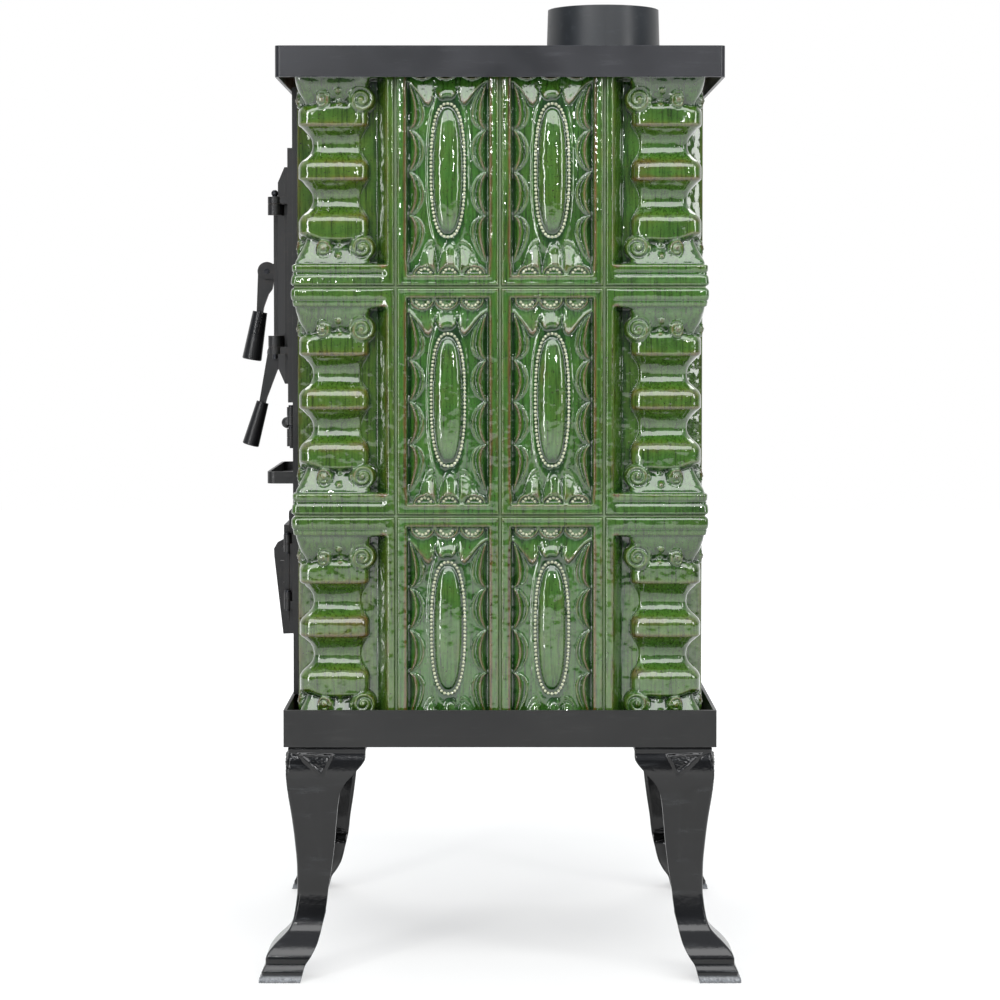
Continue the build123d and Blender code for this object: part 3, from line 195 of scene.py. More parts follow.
# ---------------------------------------------------------------- surfaces
def add_piece(name, points, faces, material, body="stove", values=None):
    """Makes a smooth mesh piece from its points and faces. Values are numbers per point, kept as attributes."""
    mesh = bpy.data.meshes.new(name)
    mesh.from_pydata(points, [], faces)
    mesh.polygons.foreach_set("use_smooth", np.full(len(mesh.polygons), True))
    for key, numbers in (values or {}).items():
        layer = mesh.attributes.new(key, "FLOAT", "POINT")
        layer.data.foreach_set("value", np.asarray(numbers, np.float32))
    mesh.materials.append(material)
    mesh.validate()
    made = bpy.data.objects.new(name, mesh)
    scene.collection.objects.link(made)
    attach(made, body)
    return made


def grid_faces(rows, columns, closed_rows=False, flip=False):
    """Quads between the points of a grid that is stored row by row. Closed rows join the last row to the first."""
    r = np.arange(rows if closed_rows else rows - 1)[:, None]
    c = np.arange(columns - 1)[None, :]
    a = r * columns + c
    b = a + 1
    d = ((r + 1) % rows) * columns + c
    quads = np.stack([a, b, d + 1, d], -1).reshape(-1, 4)
    return quads[:, ::-1] if flip else quads


def turned(points, degrees):
    """Points turned about the stove's upright axis."""
    c, s = math.cos(math.radians(degrees)), math.sin(math.radians(degrees))
    x = points[..., 0]
    y = points[..., 1] - middle_y
    return np.stack([x * c - y * s, x * s + y * c + middle_y, points[..., 2]], -1)


def smooth_step(x, low, high):
    """0 below low, 1 above high, and a smooth climb between."""
    t = np.clip((x - low) / (high - low), 0, 1)
    return t * t * (3 - 2 * t)


def hump(x, centre, half):
    """1 at the centre, falling smoothly to 0 at half to either side."""
    t = np.clip(1 - ((x - centre) / half) ** 2, 0, 1)
    return t * t


def blurred(height, reach):
    """A grid averaged over a window of reach points to each side, in both directions."""
    for axis in (0, 1):
        padded = np.pad(height, [(reach, reach) if a == axis else (0, 0) for a in (0, 1)], mode="edge")
        total = np.cumsum(padded, axis)
        total = np.insert(total, 0, 0, axis)
        size = height.shape[axis]
        high = np.take(total, np.arange(size) + 2 * reach + 1, axis)
        low = np.take(total, np.arange(size), axis)
        height = (high - low) / (2 * reach + 1)
    return height


def pooled(height, reach):
    """How thick the glaze lies: 0.5 on a flat, more in a hollow, and less on a ridge, from a height grid in mm."""
    near = blurred(height, reach) - height
    far = blurred(height, reach * 4) - height
    return np.clip(0.52 + 0.16 * near + 0.022 * far, 0, 1)


# ---------------------------------------------------------------- middle tiles
# In millimetres: u goes across a tile from its centre line, v goes down from its top edge, and heights are
# measured out from the wall's face.
TILE_TALL = 220.0
OVAL_AT = 108.4               # v of the beaded oval's centre
OVAL_HALF = (16.4, 64.4)      # half sizes of the ring of beads, across and down
BOSS_HALF = (12.9, 59.8)      # and of the smooth boss inside it
OVAL_POWER = 2.5              # superellipse: 2 is an ellipse, more is squarer
FIELD = -7.0                  # height of the sunk field
FRAME_WIDE = 10.0             # frame from the tile's edge to the field
EDGE = 3.0                    # strip along a tile's edge that holds its rounding of EDGE_R
EDGE_R = 2.6
BEAD_PITCH = 3.7
BEAD_R = 1.75


def edge_round(distance, radius):
    """How far a face falls back within a radius of its edge, as a quarter circle."""
    d = np.clip(distance, 0, radius)
    return -(radius - np.sqrt(np.clip(radius**2 - (radius - d) ** 2, 0, None)))


def oval_reach(u, v, half):
    """Distance scale of a superellipse about the tile's middle: 1 on its outline, 0 at its centre."""
    total = np.abs(u / half[0]) ** OVAL_POWER + np.abs((v - OVAL_AT) / half[1]) ** OVAL_POWER
    return total ** (1 / OVAL_POWER)


def past_ring(u, v):
    """Distance out from the ring of beads in mm, as scaled from the superellipse, and negative inside it."""
    return (oval_reach(u, v, OVAL_HALF) - 1) * OVAL_HALF[0]


# Each leaf's head and foot down the tile, and how fast it widens from its head and narrows to its foot.
LEAVES = ((20.0, 69.0, 0.95, 0.42), (69.0, 109.8, 0.6, 0.6), (109.8, 152.3, 0.6, 0.6), (152.3, 200.0, 0.42, 0.95))
LEAF_WIDE = 16.2


def leaves(x, v):
    """Four scooped leaves along a long side. x is the distance in from the frame and v the distance down the tile.
    Across a leaf the face goes from a deep hollow by the frame over a sharp crest, down a concave slope, up to a
    rolled rim and down to the field. The outermost leaves are widest near their inner ends. Returns the height over
    the field."""
    total = np.zeros_like(x)
    for top, foot, head, tail in LEAVES:
        t = np.clip((v - top) / (foot - top), 0.001, 0.999)
        peak = head / (head + tail)
        shape = (t / peak) ** head * ((1 - t) / (1 - peak)) ** tail
        reach = LEAF_WIDE * shape + 0.01
        q = x / reach
        crest = 0.50
        rise = -2.6 + 6.8 * np.clip(q / crest, 0, 1) ** 1.9
        slope = 4.2 - 4.6 * smooth_step(q, crest, crest + 0.34) ** 0.7
        rim = 2.7 * np.exp(-(((q - 0.94) / 0.075) ** 2))
        height = np.where(q < crest, rise, slope) + rim
        height = height * (1 - smooth_step(q, 0.985, 1.09)) * smooth_step(reach, 0.8, 7.0)
        total = np.where((v >= top) & (v < foot), height, total)
    return total


# The petals' hem, from left to right as (u, v), and the notches between the petals.
HEM = np.array([(-37.0, 24.5), (-31.5, 31.0), (-25.5, 39.0), (-21.8, 44.6), (-18.3, 46.4), (-15.4, 42.5), (-13.6, 35.0),
    (-12.3, 27.0), (-10.6, 34.0), (-7.4, 39.6), (-2.3, 42.0), (3.2, 40.4), (7.0, 35.6), (9.3, 27.0), (10.8, 36.0),
    (12.8, 43.0), (15.9, 46.0), (20.0, 41.8), (26.4, 33.2), (31.5, 27.5), (37.0, 24.0)])
NOTCHES = (-12.3, 9.3)


def petals(u, v):
    """Three broad petals that hang from the top. Each climbs out of the tile from its root to its hem, domed between
    the notches that part it from the next one. The hem, a drawn line of tips and notches, is rolled up before it
    drops to the field. Returns the height over the field."""
    hem = np.interp(u, HEM[:, 0], HEM[:, 1])
    before = hem - v
    fold = np.minimum(np.abs(u - NOTCHES[0]), np.abs(u - NOTCHES[1]))
    climb = 0.6 + 4.6 * np.clip((v - 10.0) / 32.0, 0, 1) ** 1.15
    dome = climb - 1.7 * np.exp(-((fold / 3.2) ** 2)) * smooth_step(v, 12.0, 30.0)
    roll = 0.9 * np.exp(-(((before - 1.5) / 1.2) ** 2))
    return (dome + roll) * smooth_step(before, -0.4, 1.5)


# Each shell's tip, and how far it reaches to the left and right of it.
SHELLS = ((-15.6, 12.6, 5.6), (2.2, 11.4, 11.0), (13.4, 4.4, 17.0))


def shells(u, v):
    """Three domed shells that stand at the foot, each under a rounded arch whose sides sweep down from its tip, with
    the lip of a second one showing behind it. A shell rises out of the tile from its tip to its foot, so it faces a
    little upwards. Returns the height over the field."""
    total = np.zeros_like(u)
    for tip, left, right in SHELLS:
        side = np.where(u < tip, left, right)
        off = np.clip(np.abs(u - tip) / side, 0, 1)
        for step, front in ((0.0, True), (5.6, False)):
            arch = 181.0 - step + (23.0 + step) * off ** 2.1
            inside = v - arch
            run = np.clip(inside / 20.0, 0, 1)
            lip = np.exp(-(((inside - 1.1) / 0.9) ** 2))
            dome = 0.8 + 5.9 * run * (1 - 0.35 * off**2) + 0.5 * lip if front else 0.5 + 0.9 * lip
            total = np.maximum(total, dome * smooth_step(inside, -0.3, 1.1) * (off < 1))
    return total


# Centres of the half-round dishes on the frame, as (u, v).
TOP_DISCS = ((-24.8, 11.2), (-1.4, 11.2), (23.4, 11.2))
FOOT_DISCS = ((-22.3, 209.6), (1.4, 209.6), (25.6, 209.6))


def half_disc(u, v, at_u, at_v, radius):
    """A dish against the frame, cut off by it: a raised rim around a sunken bowl for the beads. Returns the height over
    the field, and how much of the place the dish takes up."""
    far = np.hypot(u - at_u, (v - at_v) * 1.16) / radius
    rim = 5.4 * np.exp(-(((far - 0.93) / 0.10) ** 4))
    bowl = (1.2 + 1.4 * (1 - far**2)) * (far < 0.93)
    return np.maximum(rim, bowl), 1 - smooth_step(far, 0.98, 1.06)


def middle_relief(u, v, half_wide):
    """Height of a middle tile's face in mm. It takes the highest of the leaves, petals, shells and dishes over the
    field, adds the oval's rolled ring and its boss, and ends in the frame, which is rounded off at the tile's edge."""
    side = half_wide - np.abs(u)
    rim = np.minimum(side, np.minimum(v, TILE_TALL - v))
    inner_edge = FRAME_WIDE + 1.2 * smooth_step(v, 190.0, 212.0)
    frame_top = -0.25 - 0.5 * hump(rim, 5.2, 3.4)
    step_down = smooth_step(rim, inner_edge - 1.2, inner_edge + 0.9)
    to_ring = past_ring(u, v)
    field = FIELD + 1.9 * np.exp(-(np.clip(to_ring, 0, None) / 4.0) ** 1.6)
    leaf = leaves(side - inner_edge - 0.2, v)
    over = np.maximum.reduce([leaf, petals(u, v), shells(u, v)])
    over = np.where((over <= 0) & (leaf < 0), leaf, over)
    for discs, radius in ((TOP_DISCS, 11.4), (FOOT_DISCS, 11.2)):
        for at_u, at_v in discs:
            dish, taken = half_disc(u, v, at_u, at_v, radius)
            over = over * (1 - taken) + dish * taken
    inner = np.where(to_ring > 0, field, FIELD + 0.8)
    inner = inner + over * smooth_step(to_ring, 0.8, 2.2)
    inner = inner - 0.4 * np.exp(-((to_ring / 1.6) ** 4)) + 0.5 * np.exp(-(((to_ring - 3.0) / 0.8) ** 2))
    boss = oval_reach(u, v, BOSS_HALF)
    inner = inner + 5.8 * np.clip(1 - boss**2.4, 0, 1) ** 0.5
    height = frame_top * (1 - step_down) + np.minimum(inner, -0.6) * step_down
    return height + edge_round(rim, EDGE_R)


def bead_places():
    """Centres of a middle tile's beads as rows of (u, v, radius): evenly along the oval's ring, and on each dish."""
    turn = np.linspace(0, 2 * math.pi, 2001)
    c, s = np.cos(turn), np.sin(turn)
    u = OVAL_HALF[0] * np.sign(c) * np.abs(c) ** (2 / OVAL_POWER)
    v = OVAL_HALF[1] * np.sign(s) * np.abs(s) ** (2 / OVAL_POWER)
    along = np.concatenate([[0], np.cumsum(np.hypot(np.diff(u), np.diff(v)))])
    count = int(round(along[-1] / BEAD_PITCH))
    at = np.arange(count) * along[-1] / count
    rows = [np.stack([np.interp(at, along, u), OVAL_AT + np.interp(at, along, v), np.full(count, BEAD_R)], -1)]
    for discs, way in ((TOP_DISCS, 1), (FOOT_DISCS, -1)):
        for a, b in discs:
            angle = np.radians(np.linspace(-66, 66, 5))
            out = 6.2  # from the dish's centre
            rows.append(np.stack([a + out * np.sin(angle), b + way * out * np.cos(angle), np.full(5, 1.7)], -1))
    return np.concatenate(rows)


def bead_mesh(centres, radius):
    """Domes on a face that looks along +X: each is three rings of eight points with a tip, closed underneath. Returns
    their points, their quads, the triangles at their tips and the faces under them."""
    ring = np.radians(np.arange(8) * 45.0)
    lift = np.radians(np.array([-20.0, 12.0, 45.0]))
    up, out = np.sin(lift)[:, None], np.cos(lift)[:, None]
    dome = np.stack([up + 0 * ring, out * np.cos(ring), out * np.sin(ring)], -1)
    dome = np.concatenate([dome.reshape(-1, 3), [[1.0, 0, 0]]])
    points = (centres[:, None, :] + dome[None] * radius[:, None, None]).reshape(-1, 3)
    a = np.arange(8)
    b = (a + 1) % 8
    quads = np.concatenate([np.stack([a + 8 * k, b + 8 * k, b + 8 * k + 8, a + 8 * k + 8], -1) for k in range(2)])
    caps = np.stack([a + 16, b + 16, np.full(8, 24)], -1)
    base = (np.arange(len(centres)) * 25)[:, None, None]
    under = np.arange(7, -1, -1)[None]
    return points, *((one[None] + base).reshape(-1, one.shape[1]) for one in (quads, caps, under))


def spread(*stretches):
    """Grid lines from stretches of (start, end, how many steps), each evenly stepped."""
    lines = [np.linspace(a, b, n + 1)[:-1] for a, b, n in stretches]
    return np.concatenate(lines + [[stretches[-1][1]]])


def closed_tile(front, back, glaze_pool_and_painted_light):
    """Joins a front grid of points (down the tile, across it) to two back lines: the points loop round each column,
    down the front, along the foot, up the back and along the head, and each end of the loop is closed by one face."""
    rows, columns = front.shape[:2]
    foot = back.copy()
    foot[:, 2] = front[-1, :, 2]
    head = back.copy()
    head[:, 2] = front[0, :, 2]
    points = np.concatenate([front.reshape(-1, 3), foot, head])
    quads = grid_faces(rows + 2, columns, closed_rows=True, flip=True)
    count = (rows + 2) * columns
    ends = [list(range(0, count, columns))[::-1], list(range(columns - 1, count, columns))]
    values = np.concatenate([glaze_pool_and_painted_light.reshape(-1), np.full(2 * columns, 0.5)])
    return points, quads, ends, values


def edged(low, high, steps):
    """Grid lines from low to high in so many steps, with finer ones over the rounded edges."""
    inner, outer = low + EDGE, high - EDGE
    return spread((low, inner, 5 // thin), (inner, outer, steps // thin), (outer, high, 5 // thin))


def middle_tile(offset, half_wide, seat, top):
    """One middle tile on the right wall. offset is its centre line's distance from the stove's axis. Returns the
    tile's shell and its beads."""
    u = edged(-half_wide, half_wide, 96)
    v = edged(0, TILE_TALL, 190)
    uu, vv = np.meshgrid(u, v)
    height = middle_relief(uu, vv, half_wide)
    scale = (top - seat) / TILE_TALL
    front = np.stack([face + height * MM, middle_y + offset + uu * MM, top - vv * scale], -1)
    back = np.stack([np.full_like(u, tile_back), middle_y + offset + u * MM, np.zeros_like(u)], -1)
    # The band along the ring of beads counts as thicker glaze, so it comes out darker: partly glaze pooled round the
    # beads, partly painted shade in the gaps between them.
    glaze_pool_and_painted_light = pooled(height, 4 // thin) + 0.5 * np.exp(-((past_ring(uu, vv) / 2.2) ** 2))
    shell = closed_tile(front, back, glaze_pool_and_painted_light)
    places = bead_places()
    lift = middle_relief(places[:, 0], places[:, 1], half_wide)
    centres = np.stack([face + lift * MM, middle_y + offset + places[:, 0] * MM, top - places[:, 1] * scale], -1)
    return shell, bead_mesh(centres, places[:, 2] * MM)


# ---------------------------------------------------------------- corner tiles
# In millimetres: s goes along a wing from the tile's outer corner, v goes down from its top edge, and depths are
# measured out from the wall's face, so they are negative.
WING = 101.0                  # how far a wing reaches from the corner
BEND = 30.0                   # length that the rounded corner takes from each wing
BEHIND = -23.5                # the field behind the column
STRIP_AT = 85.6               # where the slope up to the wing's outer strip begins
FACE_FROM = 38.0              # where the column's face begins to round off towards its side
RING_AT = (58.2, 110.6, 163.2)
# The column's outline as (v, depth): one ring and one waist, repeated below one another, between head and foot.
RING = ((-12.0, -10.4), (-10.6, -9.2), (-8.6, -8.0), (-6.8, -7.2), (-5.0, -7.0), (5.4, -7.0), (6.7, -7.6),
    (7.5, -9.2), (9.0, -10.6))
WAIST = ((12.0, -13.2), (16.0, -17.0), (21.0, -19.7), (26.4, -20.3), (31.5, -18.9), (35.8, -15.4), (38.8, -12.2))
HEAD = ((0.0, -2.4), (0.6, -1.6), (3.0, -0.3), (7.0, -0.2), (11, -0.9), (12.3, -2), (13.6, -1.7), (15.0, -2.0),
    (17.3, -2.4), (18.5, -4.4), (20.5, -4.6), (25.5, -5.3), (33.8, -8.2), (43.0, -13.0), (45.0, -13.6))
FOOT = ((174.6, -13.8), (182.4, -11), (190.5, -7), (196.5, -4.6), (198.6, -4.2), (199.8, -1.8), (201, -1.3),
    (205.4, -1.5), (206.8, -2.6), (207.7, -2.0), (209.2, -2.6), (210.4, -1.2), (214.5, -0.6), (217.4, -0.3),
    (219.0, -1.0), (220, -2.4))
TURNINGS = [(at + a, b) for at, turning in zip(RING_AT, (RING + WAIST, RING + WAIST, RING)) for a, b in turning]
OUTLINE = np.array([*HEAD, *TURNINGS, *FOOT])
# How square the column is in plan, as (v, power of a superellipse).
SQUARENESS = np.array([(0, 11.0), (18.5, 11.0), (26, 5.0), (46, 4.5), (50, 3.8), (65, 3.8), (71, 2.6), (92, 2.6),
    (99, 3.8), (118, 3.8), (123, 2.6), (145, 2.6), (151, 3.8), (170, 3.8), (174, 4.5), (192, 5.0), (199, 11.0),
    (220, 11.0)])
# The scrolls as (s, v, radius, which way they face, which way they turn), and the buttons as (s, v, radius).
VOLUTES = ((69.3, 39.9, 13.6, 1, 1), (30.4, 39.6, 9.4, -1, 1), (69.6, 183.0, 13.0, 1, -1), (31.2, 183.6, 9.8, -1, -1))
BUTTONS = ((46.4, 31.8, 3.2), (47.6, 42.6, 3.2), (47.0, 178.8, 3.4), (46.5, 190.5, 3.0))


def along(points, x):
    """A smooth line through points: between two of them a cubic whose slope at each is the gentler of the slopes of
    the two straight runs that meet there, or level where they turn back, so it never overshoots."""
    run = np.diff(points[:, 0])
    slope = np.diff(points[:, 1]) / run
    same = slope[:-1] * slope[1:] > 0
    bend = np.where(same, 2 * slope[:-1] * slope[1:] / np.where(same, slope[:-1] + slope[1:], 1), 0)
    tangent = np.concatenate([[slope[0]], bend, [slope[-1]]])
    k = np.clip(np.searchsorted(points[:, 0], x, "right") - 1, 0, len(run) - 1)
    t = (x - points[k, 0]) / run[k]
    rise = points[k + 1, 1] - points[k, 1]
    start, end = tangent[k] * run[k], tangent[k + 1] * run[k]
    return points[k, 1] + t * start + t * t * (3 * rise - 2 * start - end) + t**3 * (start + end - 2 * rise)


def in_moulding(v):
    """1 in the mouldings at a corner tile's head and foot, which run right across it, and 0 between them."""
    return np.maximum(1 - smooth_step(v, 17.6, 20.5), smooth_step(v, 197.6, 199.6))


def column_edge(v, outline):
    """Where the turned column's side is, from the tile's outer corner: the shaft's own edge, which draws in with the
    waists, widened to a moulding that runs right to the strip at the head and foot, and to the big volutes' circles."""
    neck = 75.2 + 0.64 * (outline + 7.0)
    for at_s, at_v, radius, _, _ in VOLUTES:
        if at_s > 50:
            circle = at_s + np.sqrt(np.clip(radius**2 - (v - at_v) ** 2, 0, None))
            neck = np.where(np.abs(v - at_v) < radius, np.maximum(neck, circle), neck)
    full = in_moulding(v)
    return neck * (1 - full) + (STRIP_AT + 3.0) * full


def volute(s, v, at_s, at_v, radius, way, turn_way):
    """A rolled scroll: a low dome with a ridge that winds in to a raised eye, a cosine of the distance out, in turns
    of the band's width, less the angle round. Returns its height over the column's field and where it lies."""
    far = np.hypot(s - at_s, v - at_v)
    turn = np.arctan2((v - at_v) * turn_way, (s - at_s) * way)
    wave = np.cos(2 * math.pi * (far / (radius * 0.40) + turn / (2 * math.pi)))
    ridge = 1.15 * np.sign(wave) * np.abs(wave) ** 0.7
    eye = 2.2 * np.exp(-((far / 2.4) ** 2))
    dome = 0.6 - 1.3 * (far / radius) ** 2
    inside = 1 - smooth_step(far, radius - 1.3, radius + 0.2)
    return ridge * smooth_step(far, 1.6, 3.2) + eye + dome, inside


def column_face(s, v):
    """How deep the column's face lies behind the wall's face in mm: its turned outline, with volutes and buttons.
    The outermost rings bow towards the head and the foot in the middle of the face."""
    middle = np.clip(1 - ((s - 44.0) / 34.0) ** 2, 0, 1)
    bow = -3.6 * middle * hump(v, 47.0, 12.0) + 5.2 * middle * hump(v, 172.5, 15.0)
    depth = along(OUTLINE, np.clip(v - bow, 0, TILE_TALL))
    for at_s, at_v, radius, way, turn_way in VOLUTES:
        height, inside = volute(s, v, at_s, at_v, radius, way, turn_way)
        depth = depth * (1 - inside) + np.maximum(-6.2 + height, depth - 3) * inside
    for at_s, at_v, radius in BUTTONS:
        far = np.hypot(s - at_s, v - at_v) / radius
        depth = depth + 2.6 * np.sqrt(np.clip(1 - far**2, 0, 1))
    return np.minimum(depth, -0.15)


def corner_surface(v):
    """The face of a corner tile as grids over v (down) and the place across one wing, from the diagonal to the wing's
    end: the depth, the place along the wing from the tile's outer corner, and the relief. Each wing goes round the
    bend, over the column's face, down its rounded side to the field behind, and up a slope to the strip at its end.
    The bend is an arc of a superellipse whose squareness follows the outline, so that the rings are nearly square
    and the waists rounder."""
    outline = along(OUTLINE, v)[:, None]
    edge = column_edge(v, outline[:, 0])[:, None]
    k = np.linspace(0, 1, 48 // thin)[1:][None, :]
    on_face = BEND + (edge - BEND) * (1 - (1 - k) ** 1.8)
    q = np.clip((on_face - FACE_FROM) / (edge - FACE_FROM), 0, 1)
    power = np.interp(v, SQUARENESS[:, 0], SQUARENESS[:, 1])[:, None]
    round_off = (1 - q**power) ** (1 / power)
    vv = v[:, None] + 0 * on_face
    depth_face = BEHIND + (column_face(on_face, vv) - BEHIND) * round_off
    rest = spread((0.0, 1.0, 12 // thin), (1.0, 2.0, 20 // thin))[1:][None, :]
    foot = np.maximum(edge + 0.4, STRIP_AT)
    strip_s = np.where(rest <= 1, edge + (foot - edge) * rest, foot + (rest - 1) * (WING - foot))
    rim = np.minimum(WING - strip_s, np.minimum(vv[:, :1], TILE_TALL - vv[:, :1]))
    strip_top = -0.3 + edge_round(rim, EDGE_R)
    climb = smooth_step(strip_s, STRIP_AT - 2.0, STRIP_AT + 9.6) ** 0.8
    strip_depth = BEHIND * (1 - climb) + strip_top * climb
    frame_band = in_moulding(v)[:, None]
    mould = outline + (strip_top - outline) * smooth_step(strip_s, STRIP_AT + 2.0, STRIP_AT + 9.6)
    strip_depth = strip_depth * (1 - frame_band) + mould * frame_band
    wing_s = np.concatenate([on_face, strip_s], 1)
    full_face = depth_face * (1 - frame_band) + column_face(on_face, vv) * frame_band
    wing_depth = np.concatenate([full_face, strip_depth], 1)
    phi = np.radians(np.linspace(45, 0, 20 // thin))[None, :]
    arc_s = BEND * (1 - phi / math.radians(45))
    arc_depth = column_face(arc_s, v[:, None] + 0 * arc_s)
    swell = (np.abs(np.cos(phi)) ** power + np.abs(np.sin(phi)) ** power) ** (-1 / power)
    out = (BEND + arc_depth) * swell
    a = np.concatenate([out * np.cos(phi) - BEND, wing_depth], 1)
    b = np.concatenate([BEND - out * np.sin(phi), wing_s], 1)
    return a, b, np.concatenate([arc_depth, wing_depth], 1)


def corner_tile(seat, top):
    """One corner tile at the front right corner: the right wing's grid, and its mirror in the corner's diagonal."""
    v = spread((0, EDGE, 5 // thin), (EDGE, 48, 44 // thin), (48, 172, 80 // thin), (172, TILE_TALL - EDGE, 44 // thin),
        (TILE_TALL - EDGE, TILE_TALL, 5 // thin))
    a, b, depth = corner_surface(v)
    scale = (top - seat) / TILE_TALL
    x = np.concatenate([face - b[:, :0:-1] * MM, face + a * MM], 1)
    y = np.concatenate([middle_y - face - a[:, :0:-1] * MM, middle_y - face + b * MM], 1)
    front = np.stack([x, y, (top - v * scale)[:, None] + 0 * x], -1)
    depth = np.concatenate([depth[:, :0:-1], depth], 1)
    columns = x.shape[1]
    t = np.linspace(-1, 1, columns)
    inner = (face - tile_back) / MM
    reach = (inner + (WING - inner) * np.abs(t)) * MM
    back_x = np.where(t < 0, face - reach, tile_back)
    back_y = np.where(t < 0, middle_y - tile_back, middle_y - face + reach)
    back = np.stack([back_x, back_y, 0 * back_x], -1)
    # The term on depth counts less glaze where the face lies deep, so the field behind the column comes out lighter:
    # painted light against the shade that falls in it.
    glaze_pool_and_painted_light = pooled(depth, 4 // thin) + 0.022 * np.clip(depth + 12, -7, 6)
    return closed_tile(front, back, glaze_pool_and_painted_light)


# ---------------------------------------------------------------- the tiled walls
glaze = glazed_tile_material()
beads = bead_material()
CORNERS = ("front_right", "back_right", "back_left", "front_left")
WALLS = (("tiles_right_side_front", "tiles_right_side_rear"), ("tiles_back_right", "tiles_back_left"),
    ("tiles_left_side_rear", "tiles_left_side_front"))
CORNER_BROWN = (0.65, 0.45, 0.5, 0.4)  # how brown each corner's tiles came out of the kiln
MIDDLE_BROWN = (0.0, 0.2)              # and each column of middle tiles
half_wide = (wall_high.y - wall_low.y) / 2 / MM
offset = middle_y - (wall_low.y + wall_high.y) / 2
for row in ("low", "middle", "top"):
    seat, top = (end.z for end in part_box(f"corner_tile_front_right_{row}"))
    points, quads, ends, glaze_pool_and_painted_light = corner_tile(seat, top)
    for quarter, corner in enumerate(CORNERS):
        shades = {"glaze_pool_and_painted_light": glaze_pool_and_painted_light, "warm": np.full(len(points), CORNER_BROWN[quarter])}
        places = turned(points, 90 * quarter)
        faces = quads.tolist() + ends
        tile = add_piece(f"glazed_corner_{corner}_{row}", places, faces, glaze, values=shades)
        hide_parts(f"corner_tile_{corner}_{row}")
    for which, sign in enumerate((-1, 1)):
        (points, quads, ends, glaze_pool_and_painted_light), (domes, *dome_faces) = middle_tile(sign * offset, half_wide, seat, top)
        both = np.concatenate([points, domes])
        own_faces = quads.tolist() + ends
        faces = own_faces + [face_of for one in dome_faces for face_of in (one + len(points)).tolist()]
        which_material = np.repeat([0, 1], [len(own_faces), len(faces) - len(own_faces)])
        glaze_pool_and_painted_light = np.concatenate([glaze_pool_and_painted_light, np.zeros(len(domes))])
        shades = {"glaze_pool_and_painted_light": glaze_pool_and_painted_light, "warm": np.full(len(both), MIDDLE_BROWN[which])}
        for quarter, columns in enumerate(WALLS):
            places = turned(both, 90 * quarter)
            tile = add_piece(f"glazed_{columns[which]}_{row}", places, faces, glaze, values=shades)
            tile.data.materials.append(beads)
            tile.data.polygons.foreach_set("material_index", which_material)
            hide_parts(columns[which])


# ---------------------------------------------------------------- plain finishes of the other parts
def worn_edges(tree, place, radius_mm):
    """Where a surface is rubbed: 1 on its sharp outer edges, in patches, and 0 on its flats. An edge is where the
    normal averaged over the radius leans away from the surface's own."""
    soft = node(tree, "Bevel", {"Radius": radius_mm * MM}, samples=4).outputs[0]
    own = node(tree, "NewGeometry").outputs["Normal"]
    level = node(tree, "VectorMath", {0: soft, 1: own}, operation="DOT_PRODUCT").outputs["Value"]
    edge = ramp(tree, level, [(0.72, 1.0), (0.985, 0.0)])
    patches = ramp(tree, noise(tree, place, 9, 5.0, 0.7), [(0.42, 0.0), (0.6, 1.0)])
    return sums(tree, "MULTIPLY", edge, patches)


def coated(name, colour, other, rough, worn=None, metallic=0.0, grain_mm=1.2, depth_mm=0.05, ior=1.5):
    """A painted, cast or rolled surface: two close colours in a cloud, its gloss varying with them, a fine grain in its
    bump, faint scuffs, and edges worn to a third colour. Where the attribute "bare" is set, it is scraped to grey
    metal."""
    made, tree, out = new_material(name)
    at = object_place(tree)
    cloud = noise(tree, at, 60, 5.0)
    grain = noise(tree, at, grain_mm, 3.0)
    rubbed = noise(tree, object_place(tree, (1.0, 0.12, 1.0)), 7, 6.0, 0.7)
    scuffs = ramp(tree, rubbed, [(0.56, 0.0), (0.74, 1.0)])
    tone = ramp(tree, cloud, [(0.35, colour), (0.68, other)])
    gloss = ramp(tree, cloud, [(0.3, rough * 0.85), (0.7, min(1.0, rough * 1.2))])
    gloss = sums(tree, "ADD", gloss, sums(tree, "MULTIPLY", scuffs, 0.12))
    worn_colour = linear(worn or other)
    tone = mix(tree, sums(tree, "MULTIPLY", scuffs, 0.2), tone, worn_colour)
    tone = mix(tree, sums(tree, "MULTIPLY", worn_edges(tree, at, 1.2), 0.7), tone, worn_colour)
    bare = node(tree, "Attribute", attribute_name="bare").outputs["Fac"]
    tone = mix(tree, sums(tree, "MULTIPLY", bare, noise(tree, at, 3, 4.0, 0.7)), tone, linear("a9adb1"))
    skin = bumped(tree, grain, 0.4, depth_mm)
    surfaced(tree, out, {"Base Color": tone, "Roughness": gloss, "Metallic": metallic, "IOR": ior, "Normal": skin})
    return made


def pane_material():
    """Glass-ceramic, rolled and clear. It is a little smoky, and hazy where soot was wiped off it in clouds."""
    made, tree, out = new_material("clear_glass_ceramic")
    soot = noise(tree, object_place(tree), 45, 5.0)
    tint = ramp(tree, soot, [(0.35, "e6dfd2"), (0.8, "b5ac9d")])
    haze = ramp(tree, soot, [(0.4, 0.01), (0.8, 0.14)])
    surfaced(tree, out, {"Base Color": tint, "Roughness": haze, "IOR": 1.54, "Transmission Weight": 1.0})
    return made


